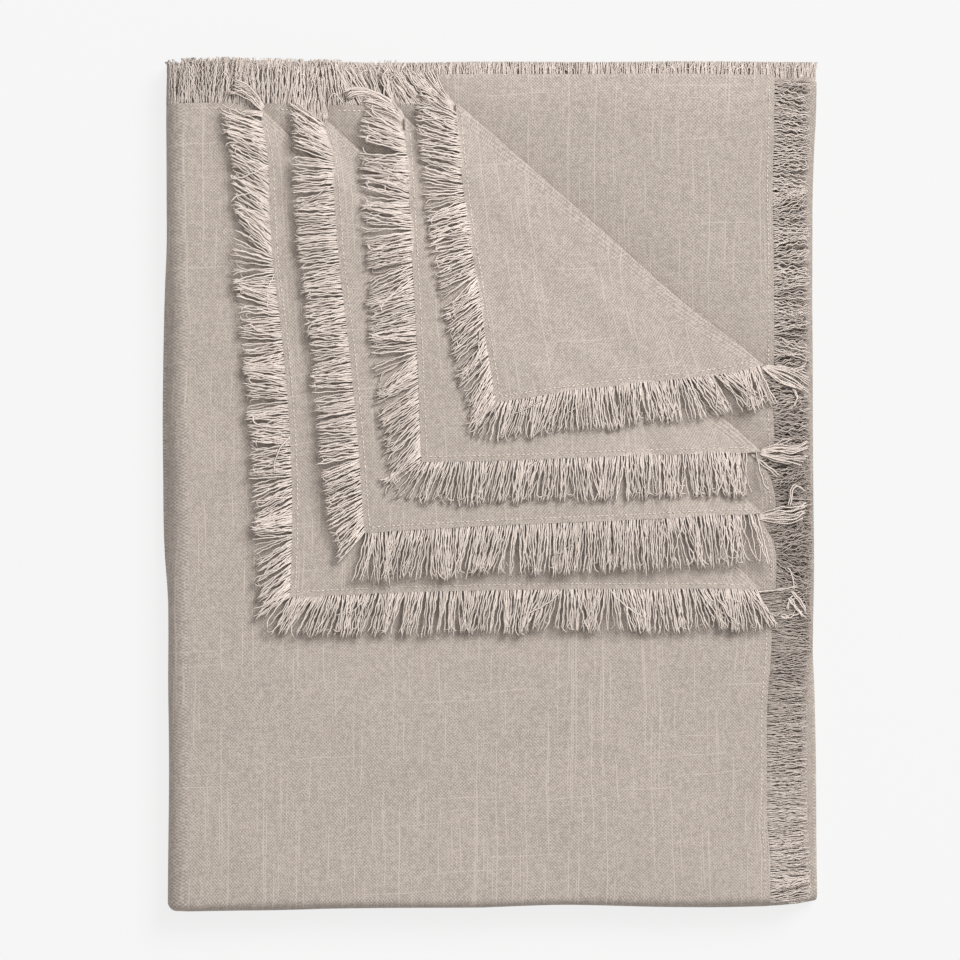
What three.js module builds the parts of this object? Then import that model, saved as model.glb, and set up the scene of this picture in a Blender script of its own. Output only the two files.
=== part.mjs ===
// A fringed cotton tablecloth, folded to a sixteenth of its size and laid flat, with the four
// corners of the cloth turned back one after another over the pile.
// Millimetres, +Z up, +Y towards the end where the corners lie. The origin is on the surface
// that the pile lies on, under the middle of the woven pile.
//
// How it is folded: the cloth is doubled from side to side, so that two plies lie together. The
// pair runs to and fro between the lower and the upper end of the pile in four passes, which
// makes eight layers. The eight are folded under at the thick left edge, which makes sixteen.
// Layers are counted from the top. Layers 1 to 4 have the four corners of the cloth.

import * as THREE from "three";

// The cloth and the pile
const clothThickness = 1.0;
const layerGap = 0.3;
const layersInHalf = 8;
const pileWidth = 332.6; // thick left fold to the folded right edge
const pileLength = 430; // lower folds to upper folds
const rightHemSetback = 24.2; // from the folded right edge in to the right hem
const topHemSetback = 16.2; // from the upper folds in to the top hem
const underHalfSlip = 1.3; // how far the under half stands out at the lower edge

// The fringe, drawn together as locks that share a narrow heading beside the hem
const headingGap = 0.35;
const headingWidth = 1.3;
const lockThickness = 0.8;
const fringeLength = 24;
const lockPitch = 11.2;
const hiddenLockPitch = 16.5;
const lockShare = 0.84; // of the pitch that a lock fills at its root
const tipShare = 0.62; // of the root width that is left at the tip

// Where a turned-back corner climbs over the fold below it
const climbWidth = 12;
const climbGap = 1.6;
const climbShape = [
  { share: 0, rise: 0 },
  { share: 0.25, rise: 0.14 },
  { share: 0.5, rise: 0.5 },
  { share: 0.75, rise: 0.86 },
  { share: 1, rise: 1 },
];

// Each corner is turned back over a slanting fold. foldX is where that fold meets the top hem
// and foldY where it meets the right hem. The tip of the flap lies where a mirror in the fold
// would put it, but for a slide along the fold and a draw back towards it.
const turnedCorners = [
  { layer: 1, foldX: -112.3, foldY: -49.2, tipSlide: 1.0, tipDraw: 2.0 },
  { layer: 2, foldX: -80.9, foldY: -9.3, tipSlide: -0.8, tipDraw: 1.8 },
  { layer: 3, foldX: -43.3, foldY: 20.3, tipSlide: -0.6, tipDraw: 1.2 },
  { layer: 4, foldX: -17.5, foldY: 61.3, tipSlide: -6.0, tipDraw: 0.6 },
];

// Bow and sway bend the two hems of each flap, and the fringe is not quite even in length.
const leftHems = [
  { layer: 1, bow: -1.5, sway: 4.0, fringe: 23.0 },
  { layer: 2, bow: 3.0, sway: 1.8, fringe: 23.0 },
  { layer: 3, bow: 0.8, sway: 0.6, fringe: 24.5 },
  { layer: 4, bow: 4.0, sway: 0.6, fringe: 23.0 },
];
const lowerHems = [
  { layer: 1, bow: -1.0, sway: 0.6, fringe: 22.0 },
  { layer: 2, bow: 1.6, sway: 1.0, fringe: 26.5 },
  { layer: 3, bow: 0.8, sway: -0.4, fringe: 22.5 },
  { layer: 4, bow: -1.6, sway: 0.4, fringe: 22.0 },
];

// How far the left and right edges stray outwards (+) or inwards (-) along the pile
const edgeStray = [
  { y: -216, left: -1.0, right: 1.7 },
  { y: -150, left: -2.0, right: 1.2 },
  { y: -50, left: -0.4, right: -0.7 },
  { y: -10.8, left: 1.6, right: -1.0 },
  { y: 19.1, left: 2.0, right: -1.0 },
  { y: 59.2, left: 1.9, right: -1.2 },
  { y: 130, left: -0.1, right: 0.2 },
  { y: 198.8, left: -0.5, right: 0.8 },
  { y: 225, left: -0.5, right: 0.4 },
];

const leftTurnSteps = 6;
const lowerTurnSteps = 5;
const smallTurnSteps = 4;

// Sizes that follow from those above
const pitch = clothThickness + layerGap;
const halfThickness = clothThickness / 2;
const midHeight = layersInHalf * pitch - layerGap / 2;
const leftTurnX = -pileWidth / 2 + midHeight;
const rightTurnX = pileWidth / 2 - pitch / 2 - halfThickness;
const rightHemX = pileWidth / 2 - rightHemSetback;
const topHemY = pileLength / 2 - topHemSetback;
const lowerTurnY = -pileLength / 2 + 3.5 * pitch + halfThickness;
const upperTurnY = pileLength / 2 - 1.5 * pitch - halfThickness;

const layerHeight = (layer) => midHeight + (layersInHalf + 0.5 - layer) * pitch;
const between = (low, high, share) => low + (high - low) * share;
const smooth = (share) => share * share * (3 - 2 * share);

// A repeatable number from 0 to 1, for what differs from lock to lock.
function scatter(seed) {
  const wave = Math.sin(seed * 12.9898 + 4.1) * 43758.5453;
  return wave - Math.floor(wave);
}

// The value of one column of a table, read between its rows.
function tableValue(table, at, column, x) {
  const last = table.length - 1;
  const place = THREE.MathUtils.clamp(x, table[0][at], table[last][at]);
  const i = Math.max(1, table.findIndex((row) => row[at] >= place));
  const share = (place - table[i - 1][at]) / (table[i][at] - table[i - 1][at]);
  return between(table[i - 1][column], table[i][column], share);
}

// Moves a point sideways as the edges of the pile stray, and leaves its height alone.
function strayed(point) {
  const half = pileWidth / 2;
  const left = tableValue(edgeStray, "y", "left", point.y);
  const right = tableValue(edgeStray, "y", "right", point.y);
  const toLeft = smooth(THREE.MathUtils.clamp(-point.x / half, 0, 1));
  const toRight = smooth(THREE.MathUtils.clamp(point.x / half, 0, 1));
  return new THREE.Vector3(point.x - left * toLeft + right * toRight, point.y, point.z);
}

// Adds to a turned corner its slanting fold (a start, a direction and a normal towards the
// flap) and the tip, which is the corner of the hems mirrored in that fold.
function withFold(corner, i) {
  const top = new THREE.Vector2(corner.foldX, topHemY);
  const right = new THREE.Vector2(rightHemX, corner.foldY);
  const along = right.clone().sub(top).normalize();
  const toFlap = new THREE.Vector2(along.y, -along.x);
  const square = new THREE.Vector2(rightHemX, topHemY);
  const beyond = square.clone().sub(top).dot(toFlap);
  const tip = square.clone().addScaledVector(toFlap, -2 * beyond - corner.tipDraw);
  tip.addScaledVector(along, corner.tipSlide);
  return { ...corner, left: leftHems[i], lower: lowerHems[i], top, right, along, toFlap, tip };
}
const flaps = turnedCorners.map(withFold);

const pastFold = (flap, point) => point.clone().sub(flap.top).dot(flap.toFlap);

// How much of a climb is done at a distance past the fold that is climbed.
function climbed(distance) {
  const share = THREE.MathUtils.clamp((distance + climbGap) / climbWidth + 1, 0, 1);
  return tableValue(climbShape, "share", "rise", share);
}

// Height of a flap's middle at a point: one pitch above its own layer, and two more for each
// lower fold that it has climbed. ahead looks further on, for stiff locks.
function flapHeight(flap, point, ahead = 0) {
  const lower = flaps.filter((other) => other.layer < flap.layer);
  const climbs = lower.reduce((sum, other) => sum + climbed(pastFold(other, point) + ahead), 0);
  return layerHeight(flap.layer) + pitch + 2 * pitch * climbs;
}

// The paired plies along the pile. Each station is on the middle line between the plies: y, its
// height above the mid plane, and the direction from there to the first ply.
function pairStations() {
  const foldYs = flaps.map((flap) => flap.foldY);
  const shared = [...foldYs, -150, 130].sort((a, b) => a - b);
  const hemmed = [lowerTurnY, ...shared, topHemY];
  const folded = [lowerTurnY, ...shared, topHemY, upperTurnY];
  const list = [];
  const pass = (pairName, pitches, facing, ys) =>
    ys.forEach((y) => list.push({ pairName, y, z: pitches * pitch, ny: 0, nz: facing }));
  const turn = (y, pitches, radius, from, to, facing, steps) => {
    for (let i = 1; i < steps; i += 1) {
      const angle = between(from, to, i / steps);
      const [ny, nz] = [Math.cos(angle), Math.sin(angle)];
      list.push({ y: y + radius * ny, z: pitches * pitch + radius * nz, ny: facing * ny, nz: facing * nz });
    }
  };
  const quarter = Math.PI / 2;
  pass("1 and 2", 7, 1, hemmed.toReversed());
  turn(lowerTurnY, 4, 3 * pitch, quarter, 3 * quarter, 1, lowerTurnSteps);
  pass("7 and 8", 1, -1, folded);
  turn(upperTurnY, 2, pitch, -quarter, quarter, 1, smallTurnSteps);
  pass("5 and 6", 3, 1, folded.toReversed());
  turn(lowerTurnY, 4, pitch, 3 * quarter, quarter, -1, smallTurnSteps);
  pass("3 and 4", 5, -1, hemmed);
  return list;
}

// The cloth across the pile: the first ply from its right hem, round the thick left fold and
// along the under half to the folded right edge, and the second ply back the same way.
function acrossStations() {
  const ply = (side) => [
    ...[1, 0.5, 0].map((share) => ({ side, zone: "upper", share })),
    ...Array.from({ length: leftTurnSteps - 1 }, (_, i) => ({
      side,
      zone: "turn",
      angle: (Math.PI * (i + 1)) / leftTurnSteps,
    })),
    ...[0, 0.5, 1].map((share) => ({ side, zone: "lower", share })),
  ];
  const rightTurn = Array.from({ length: smallTurnSteps - 1 }, (_, i) => ({
    zone: "edge",
    angle: (Math.PI * (i + 1)) / smallTurnSteps,
  }));
  return [...ply(1), ...rightTurn, ...ply(-1).toReversed()];
}

// The layer that a ply of a pair is, where that layer has a turned corner.
const cornerLayers = { "1 and 2": { 1: 1, "-1": 2 }, "3 and 4": { 1: 4, "-1": 3 } };

// Where a layer ends on the right: at the hem, or at the slanting fold above where that begins.
function rightEnd(across, station) {
  const layer = cornerLayers[station.pairName]?.[across.side];
  const flap = flaps.find((one) => one.layer === layer);
  if (!flap || station.y <= flap.foldY) return rightHemX;
  return between(rightHemX, flap.foldX, (station.y - flap.foldY) / (topHemY - flap.foldY));
}

// A point of the folded cloth. lift is how far it is off the middle of the cloth, outwards from
// the other ply.
function clothPoint(across, station, lift) {
  const offset = pitch / 2 + lift;
  const fromPair = across.zone === "edge" ? offset * Math.cos(across.angle) : offset * across.side;
  const y = station.y + fromPair * station.ny;
  const z = station.z + fromPair * station.nz;
  if (across.zone === "upper") {
    const x = between(leftTurnX, rightEnd(across, station), across.share);
    return new THREE.Vector3(x, y, midHeight + z);
  }
  if (across.zone === "turn") {
    const slip = (underHalfSlip * across.angle) / Math.PI;
    const x = leftTurnX - z * Math.sin(across.angle);
    return new THREE.Vector3(x, y - slip, midHeight + z * Math.cos(across.angle));
  }
  const share = across.zone === "edge" ? 1 : across.share;
  const bulge = across.zone === "edge" ? offset * Math.sin(across.angle) : 0;
  const x = between(leftTurnX, rightTurnX, share) + bulge;
  return new THREE.Vector3(x, y - underHalfSlip, midHeight - z);
}

// Points and faces of a sheet. A point has an outer and an inner place.
function newSheet() {
  return { points: [], faces: [] };
}

function addPoint(sheet, outer, inner) {
  sheet.points.push({ outer: strayed(outer), inner: strayed(inner) });
  return sheet.points.length - 1;
}

// Joins rows of point numbers with two triangles a cell, and skips a triangle that has shrunk
// to a line because its points are one.
function addRows(sheet, rows, turnedOver) {
  for (let r = 0; r + 1 < rows.length; r += 1) {
    for (let c = 0; c + 1 < rows[r].length; c += 1) {
      const [a, b] = [rows[r][c], rows[r + 1][c]];
      const [d, e] = [rows[r][c + 1], rows[r + 1][c + 1]];
      for (const face of [[a, b, e], [a, e, d]]) {
        if (new Set(face).size === 3) sheet.faces.push(turnedOver ? face.toReversed() : face);
      }
    }
  }
}

// Closes a sheet into a solid: its outer faces, its inner faces turned over, and a wall along
// every free edge.
function thickened(sheet) {
  const position = sheet.points.flatMap(({ outer, inner }) => [...outer, ...inner]);
  const index = [];
  const edges = new Set();
  for (const [a, b, c] of sheet.faces) {
    index.push(2 * a, 2 * b, 2 * c);
    index.push(2 * a + 1, 2 * c + 1, 2 * b + 1);
    [[a, b], [b, c], [c, a]].forEach((edge) => edges.add(edge.join()));
  }
  for (const edge of edges) {
    const [a, b] = edge.split(",").map(Number);
    if (!edges.has([b, a].join())) {
      index.push(2 * b, 2 * a, 2 * a + 1);
      index.push(2 * b, 2 * a + 1, 2 * b + 1);
    }
  }
  const geometry = new THREE.BufferGeometry();
  geometry.setAttribute("position", new THREE.Float32BufferAttribute(position, 3));
  geometry.setIndex(index);
  geometry.computeVertexNormals();
  return geometry;
}

// The lines across a flap, each with its two ends on the flap's hems and its height. They lie
// along the folds that the flap climbs, and further lines reach on to the tip.
function flapLines(flap) {
  const lower = flaps.filter((other) => other.layer < flap.layer).toReversed();
  const crossing = [];
  for (const other of lower) {
    for (const { share } of climbShape) {
      crossing.push({ fold: other, distance: between(-climbGap - climbWidth, -climbGap, share) });
    }
  }
  const guide = lower.length ? lower.at(-1) : flap;
  const from = lower.length ? -climbGap : 0;
  for (const share of [0.25, 0.5, 0.75]) {
    crossing.push({ fold: guide, distance: between(from, pastFold(guide, flap.tip), share) });
  }
  return crossing.map(({ fold, distance }) => {
    const end = (start, hem, outward) => {
      const [d0, d1] = [pastFold(fold, start), pastFold(fold, flap.tip)];
      const share = (distance - d0) / (d1 - d0);
      const bend = hem.bow * Math.sin(Math.PI * share) + hem.sway * Math.sin(2 * Math.PI * share);
      return start.clone().lerp(flap.tip, share).addScaledVector(fold.along, outward * bend);
    };
    const lowerEnd = end(flap.right, flap.lower, 1);
    const leftEnd = end(flap.top, flap.left, -1);
    const middle = lowerEnd.clone().lerp(leftEnd, 0.5);
    return { lowerEnd, leftEnd, height: flapHeight(flap, middle) };
  });
}

// The two hems of a flap, from the slanting fold to the tip.
function flapHems(flap) {
  const lines = flapLines(flap);
  return {
    left: [flap.top, ...lines.map((line) => line.leftEnd), flap.tip],
    lower: [flap.right, ...lines.map((line) => line.lowerEnd), flap.tip],
  };
}

// Adds a turned corner to the cloth. Its first row is the layer's own end at the slanting fold.
function addFlap(sheet, flap, firstRow, shares, facing) {
  const base = layerHeight(flap.layer);
  const lifts = [halfThickness, -halfThickness].map((lift) => lift * facing);
  const rows = [firstRow];
  const onFold = shares.map((share) => flap.right.clone().lerp(flap.top, share));
  for (let i = 1; i <= smallTurnSteps; i += 1) {
    const angle = (Math.PI * i) / smallTurnSteps;
    rows.push(
      onFold.map((spot) => {
        const [outer, inner] = lifts.map((lift) => {
          const radius = pitch / 2 - lift;
          const out = spot.clone().addScaledVector(flap.toFlap, -radius * Math.sin(angle));
          return new THREE.Vector3(out.x, out.y, base + pitch / 2 - radius * Math.cos(angle));
        });
        return addPoint(sheet, outer, inner);
      }),
    );
  }
  const flatPoint = (spot, height) => {
    const [outer, inner] = lifts.map((lift) => new THREE.Vector3(spot.x, spot.y, height - lift));
    return addPoint(sheet, outer, inner);
  };
  for (const { lowerEnd, leftEnd, height } of flapLines(flap)) {
    rows.push(shares.map((share) => flatPoint(lowerEnd.clone().lerp(leftEnd, share), height)));
  }
  const tip = flatPoint(flap.tip, flapHeight(flap, flap.tip));
  rows.push(shares.map(() => tip));
  addRows(sheet, rows, facing < 0);
}

function tablecloth() {
  const sheet = newSheet();
  const stations = pairStations();
  const across = acrossStations();
  const grid = across.map((one) =>
    stations.map((station) => {
      const outer = clothPoint(one, station, halfThickness);
      return addPoint(sheet, outer, clothPoint(one, station, -halfThickness));
    }),
  );
  addRows(sheet, grid, false);
  for (const flap of flaps) {
    const side = flap.layer === 1 || flap.layer === 4 ? 1 : -1;
    const edge = side > 0 ? grid[0] : grid.at(-1);
    const numbers = stations
      .map((station, i) => ({ station, i }))
      .filter(({ station }) => cornerLayers[station.pairName]?.[side] === flap.layer)
      .filter(({ station }) => station.y >= flap.foldY)
      .sort((a, b) => a.station.y - b.station.y);
    const shares = numbers.map(({ station }) => (station.y - flap.foldY) / (topHemY - flap.foldY));
    const facing = flap.layer % 2 ? 1 : -1;
    addFlap(sheet, flap, numbers.map(({ i }) => edge[i]), shares, facing);
  }
  return thickened(sheet);
}

const noLean = () => 0;

// A run of fringe. place(s, out, aside, lift) gives the point at s along the hem, out from it,
// aside along it and lift off its middle. lean(share) is how far the locks slant along the hem.
function fringe({ length, place, spacing, reach = fringeLength, mirrored = false, lean = noLean, seed }) {
  const sheet = newSheet();
  const half = lockThickness / 2;
  const add = (s, out, aside) => addPoint(sheet, place(s, out, aside, half), place(s, out, aside, -half));
  const count = Math.max(1, Math.round(length / spacing));
  const step = length / count;
  const [inner, outer] = [headingGap, headingGap + headingWidth];
  const headingRows = [];
  for (let i = 0; i < count; i += 1) {
    const root = step * lockShare;
    const start = step * i + (step - root) / 2;
    const ends = [start, start + root];
    const sway = ((scatter(seed + i) - 0.5) * 0.22 + lean((i + 0.5) / count)) * reach;
    const longer = reach * (0.93 + 0.1 * scatter(seed + i + 500));
    const rootRow = ends.map((s) => add(s, outer, 0));
    headingRows.push(...ends.map((s, side) => [add(s, inner, 0), rootRow[side]]));
    const drawnIn = (side, share) => ((side ? -1 : 1) * root * (1 - tipShare) * share) / 2;
    const rows = [0.5, 1].map((share) =>
      ends.map((s, side) =>
        add(s, between(outer, longer, share), sway * share ** 1.5 + drawnIn(side, share)),
      ),
    );
    addRows(sheet, [rootRow, ...rows], !mirrored);
  }
  addRows(sheet, headingRows, mirrored);
  return thickened(sheet);
}

// Fringe along a hem that is a line of points seen from above, with the height given by a
// function of the place. outward is the side of the line on which the fringe lies.
function fringeBesideLine({ line, outward, heightAt, skip, ...rest }) {
  const curve = new THREE.CurvePath();
  line.slice(1).forEach((point, i) => curve.add(new THREE.LineCurve(line[i], point)));
  const whole = curve.getLength();
  const place = (s, out, aside, lift) => {
    const share = THREE.MathUtils.clamp((s + skip[0]) / whole, 0, 1);
    const along = curve.getTangent(share);
    const away = new THREE.Vector2(along.y, -along.x).multiplyScalar(outward);
    const spot = curve.getPoint(share).addScaledVector(away, out).addScaledVector(along, aside);
    return new THREE.Vector3(spot.x, spot.y, heightAt(spot) + lift);
  };
  return fringe({ length: whole - skip[0] - skip[1], place, mirrored: outward > 0, ...rest });
}

const clothMaterial = new THREE.MeshStandardMaterial({ color: 0xc2b3a6, roughness: 0.92, metalness: 0 });
const fringeMaterial = new THREE.MeshStandardMaterial({ color: 0xcbbdb1, roughness: 0.95, metalness: 0 });

const pile = new THREE.Group();
function add(name, geometry, material) {
  const mesh = new THREE.Mesh(geometry, material);
  mesh.name = name;
  pile.add(mesh);
}

add("tablecloth", tablecloth(), clothMaterial);

// The fringes of the turned-back corners, which fan out round each tip.
const aheadOfClimb = 4.5;
const cornerSkip = 1.0;
const foldSkip = 3.0;
const fanShare = 0.75; // of the hem that is passed before the locks begin to slant to the tip
const fan = (share) => 0.75 * Math.max(0, (share - fanShare) / (1 - fanShare)) ** 1.3;
for (const flap of flaps) {
  const hems = flapHems(flap);
  const common = {
    heightAt: (spot) => flapHeight(flap, spot, aheadOfClimb),
    skip: [foldSkip, cornerSkip],
    spacing: lockPitch,
    lean: fan,
  };
  const name = `fringe_corner_${flap.layer}`;
  const leftSeed = flap.layer * 100;
  const left = fringeBesideLine({
    ...common,
    line: hems.left,
    outward: 1,
    reach: flap.left.fringe,
    seed: leftSeed,
  });
  const lower = fringeBesideLine({
    ...common,
    line: hems.lower,
    outward: -1,
    reach: flap.lower.fringe,
    seed: leftSeed + 50,
  });
  add(`${name}_left`, left, fringeMaterial);
  add(`${name}_lower`, lower, fringeMaterial);
}

// The right hems: each layer shows its fringe between its own slanting fold and the next one.
const endSkip = 1.5;
const rightRuns = [
  ...flaps.map((flap, i) => ({
    layer: flap.layer,
    from: i ? flaps[i - 1].foldY : lowerTurnY,
    to: flap.foldY,
  })),
  { layer: 5, from: flaps.at(-1).foldY, to: upperTurnY },
  { layer: 8, from: lowerTurnY, to: upperTurnY },
];
for (const { layer, from, to } of rightRuns) {
  const line = [new THREE.Vector2(rightHemX, from), new THREE.Vector2(rightHemX, to)];
  const geometry = fringeBesideLine({
    line,
    outward: 1,
    heightAt: () => layerHeight(layer),
    skip: [endSkip, endSkip],
    spacing: layer === 8 ? hiddenLockPitch : lockPitch,
    seed: 1000 + 60 * layer,
  });
  add(`fringe_right_${layer}`, geometry, fringeMaterial);
}

// The top hems of layers 2 to 4, which show between the slanting folds.
for (const layer of [2, 3, 4]) {
  const [from, to] = [flaps[layer - 2].foldX, flaps[layer - 1].foldX];
  const line = [new THREE.Vector2(from, topHemY), new THREE.Vector2(to, topHemY)];
  const geometry = fringeBesideLine({
    line,
    outward: -1,
    heightAt: () => layerHeight(layer),
    skip: [endSkip, endSkip],
    spacing: lockPitch,
    seed: 2000 + 60 * layer,
  });
  add(`fringe_top_${layer}`, geometry, fringeMaterial);
}

// The top hem of the under half, from the left fold to the folded right edge.
{
  const layer = 13;
  const hemY = topHemY - underHalfSlip;
  const line = [new THREE.Vector2(leftTurnX, hemY), new THREE.Vector2(rightTurnX, hemY)];
  const geometry = fringeBesideLine({
    line,
    outward: -1,
    heightAt: () => layerHeight(layer),
    skip: [0, 0],
    spacing: hiddenLockPitch,
    seed: 3000,
  });
  add(`fringe_top_${layer}`, geometry, fringeMaterial);
}

// The top hem of the outermost ply: along layer 1, round the thick left fold, and along the
// bottom layer, where it lies on the surface under the pile.
{
  const radius = (layersInHalf - 0.5) * pitch;
  const upper = flaps[0].foldX - endSkip - leftTurnX;
  const round = Math.PI * radius;
  const under = rightTurnX - leftTurnX;
  const place = (s, out, aside, lift) => {
    const at = s + aside;
    const angle = THREE.MathUtils.clamp((at - upper) / radius, 0, Math.PI);
    const before = Math.max(0, upper - at);
    const after = Math.max(0, at - upper - round);
    const slip = (underHalfSlip * angle) / Math.PI;
    const r = radius + lift;
    return new THREE.Vector3(
      leftTurnX - r * Math.sin(angle) + before + after,
      topHemY - slip + out,
      midHeight + r * Math.cos(angle),
    );
  };
  const length = upper + round + under;
  const geometry = fringe({ length, place, spacing: lockPitch, mirrored: true, seed: 4000 });
  add("fringe_top_outer", geometry, fringeMaterial);
}

export default pile;
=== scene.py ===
"""A fringed slub-cotton tablecloth, folded to a sixteenth and laid flat, its corners turned back.

The cloth is doubled from side to side into a pair of plies. The pair runs to and fro along the
pile in four passes, and the eight layers are folded under at the thick left edge. Layers are
counted from the top, 1 to 16, and the four corners of the cloth belong to layers 1 to 4. Every
surface is worked out on numpy grids, in metres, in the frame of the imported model.
"""

from functools import partial

import bpy
import numpy as np
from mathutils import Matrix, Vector


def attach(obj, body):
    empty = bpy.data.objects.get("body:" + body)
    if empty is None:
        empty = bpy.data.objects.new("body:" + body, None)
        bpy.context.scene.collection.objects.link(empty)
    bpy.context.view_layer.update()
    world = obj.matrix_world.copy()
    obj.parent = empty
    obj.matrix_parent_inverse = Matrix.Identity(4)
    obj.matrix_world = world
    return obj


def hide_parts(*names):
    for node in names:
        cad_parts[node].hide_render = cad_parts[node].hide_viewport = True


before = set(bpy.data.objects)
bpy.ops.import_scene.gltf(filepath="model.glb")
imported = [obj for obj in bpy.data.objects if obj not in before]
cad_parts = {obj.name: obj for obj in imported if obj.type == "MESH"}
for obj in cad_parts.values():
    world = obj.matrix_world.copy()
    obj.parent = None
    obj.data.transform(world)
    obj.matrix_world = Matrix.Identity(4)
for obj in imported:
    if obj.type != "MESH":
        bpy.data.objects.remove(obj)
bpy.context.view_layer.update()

bl_info = {
    "name": "Folded fringed tablecloth",
    "version": (1, 0, 0),
    "blender": (4, 5, 0),
    "location": "3D View > Sidebar > Tablecloth",
    "description": "A folded tablecloth with frayed fringes and its corners turned back",
    "category": "Add Mesh",
}

MM = 0.001
# Places closer than this are the same place
SAME_PLACE = 1e-9

# The pile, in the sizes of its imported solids
PITCH = 1.3 * MM
HALF_LAYERS = 8
PILE_WIDTH = 332.6 * MM
PILE_LENGTH = 430 * MM
RIGHT_HEM_X = PILE_WIDTH / 2 - 24.2 * MM
TOP_HEM_Y = PILE_LENGTH / 2 - 16.2 * MM
UNDER_HALF_SLIP = 1.3 * MM
MID_HEIGHT = HALF_LAYERS * PITCH - 0.15 * MM
LEFT_TURN_X = -PILE_WIDTH / 2 + MID_HEIGHT
RIGHT_TURN_X = PILE_WIDTH / 2 - PITCH / 2 - 0.5 * MM
LOWER_TURN_Y = -PILE_LENGTH / 2 + 3.5 * PITCH + 0.5 * MM
UPPER_TURN_Y = PILE_LENGTH / 2 - 1.5 * PITCH - 0.5 * MM

# Where a turned-back corner climbs over the fold of the corner below it
CLIMB_WIDTH = 15 * MM
CLIMB_GAP = 1.4 * MM
FLAP_RISE = 1.35 * MM

# How far the pull that draws in a slanting fold reaches, in mm: at the fold's ends, and how much
# further along its middle, which starts at this share of its length
PULL_REACH, PULL_REACH_MORE, PULL_MIDDLE = 9, 10, 0.25

# How much, and over what distance from a slanting fold, the corner turned back there and the
# bared layer beside it swell, and how far from the folded top edge the bared one stops
FLAP_SWELL, FLAP_SWELL_LENGTH = 2.4 * MM, 7 * MM
BARE_SWELL, BARE_SWELL_LENGTH, BARE_SWELL_END = 3.2 * MM, 10 * MM, 12 * MM

# The gentle unevenness of a turned-back corner: its height, its wavelength, and how far from the
# fold it is full
PUFF, PUFF_LENGTH, PUFF_START = 0.22 * MM, 55 * MM, 25 * MM

# How far the left and right edges stray outwards along the pile, and the under half of the
# thick left fold besides: y, left, right, under half on the left
EDGE_STRAY = np.array([
    (-216, 0.8, 2.1, 0.0), (-150, 0.8, 1.2, 0.0), (-98, 0.8, 0.2, 0.0), (-77, 0.3, -1.2, 0.0),
    (-60, 0.5, -1.7, 0.0), (-50, 0.5, -2.1, 0.5), (-36, 0.6, -2.5, 2.2), (-15, 0.6, -2.8, 3.2),
    (26, 0.6, -2.4, 3.3), (67, 0.4, -2.6, 2.8), (88, 0.4, -3.1, 2.6), (108, 1.7, -2.7, 1.0),
    (130, 1.8, -2.1, 0.0), (150, 2.0, -1.8, 0.0), (175, 1.9, -1.3, 0.0), (195, 2.1, 0.0, 0.0),
    (225, 0.6, 0.2, 0.0),
]).T * MM

# How far the right hems of the upper half stray besides, outwards: y, stray
HEM_STRAY = np.array([
    (-213, -1.2), (-188, -0.2), (-175, -2.0), (-150, -1.6), (-130, -1.4), (-108, -1.2), (-98, 0.2),
    (-77, 3.0), (-56, 5.0), (-42, 6.4), (-20, 6.8), (26, 5.5), (67, 5.5), (83, 6.2), (110, 5.5),
    (130, 5.0), (150, 4.2), (175, 4.2), (201, 3.3),
]).T * MM

# How far the lower edge strays upwards across the pile: x, stray
LOWER_STRAY = np.array([
    (-166, -2.2), (-130, -0.9), (-85, 0.0), (-5, 0.0), (35, 1.4), (100, 2.0), (140, 1.6),
    (152, 2.0), (160, 2.8), (168, 4.5),
]).T * MM

# Where the strays fade out: the under half's, over a height; the hems', over a height below the
# mid plane and a width from their left limit; and the lower edge's, over a length from its end
UNDER_FADE = 3 * MM
HEM_FADE, HEM_LIMIT_X, HEM_FADE_WIDTH = 0.6 * MM, 90 * MM, 45 * MM
END_Y, END_FADE = 170 * MM, 40 * MM

# How much the whole pile wavers, and the wavelengths: from side to side; along the pile, in mm,
# with so much more at its ends; and in thickness, as shares, in long waves and short ones
WAVER_X, WAVER_X_LENGTH = 0.35 * MM, 110 * MM
WAVER_Y, WAVER_Y_MORE, WAVER_Y_LENGTH = 0.3, 0.5, 130 * MM
LONG_WAVER, LONG_WAVER_LENGTH = 0.022, 120 * MM
SHORT_WAVER, SHORT_WAVER_LENGTH = 0.006, 35 * MM
DEPTH_STRETCH = 2.5

# Zones of the cloth across the pile
UPPER, TURN, LOWER, EDGE = range(4)

# The pass of the pair, and the ply in it, 1 for the first and -1 for the second, that makes each
# layer of the upper half
PLY_OF = {
    1: ("first", 1), 2: ("first", -1), 3: ("last", -1), 4: ("last", 1),
    5: ("inner", 1), 6: ("inner", -1), 7: ("outer", -1), 8: ("outer", 1),
}

# Steps round a fold of the cloth, and round the thick left fold
FOLD_STEPS, LEFT_FOLD_STEPS = 8, 18

# Length of flat cloth that goes round a slanting fold, and the one radius that stands for all
# the layers where the flat cloth goes round the thick left fold
FOLD_RUN = 2.5 * MM
LEFT_FOLD_RADIUS = 3.75 * PITCH

# Distance between the points of a turned-back corner, as a share of the grid spacing
FLAP_GRID = 0.7


class Hem:
    """How one hem of a turned-back corner bends, how long its fringe is, how its yarns lean
    towards the tip of the corner, as slopes from the fold to the tip, how unruly they are, how
    far from the fold they start, and what share of them is there near the fold."""

    def __init__(self, bow, sway, fringe, unrest, start, leans, thin=1.0):
        self.bow, self.sway, self.fringe = bow * MM, sway * MM, fringe * MM
        self.unrest, self.start, self.thin = unrest, start * MM, thin
        self.leans = np.array(leans).T


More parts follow.
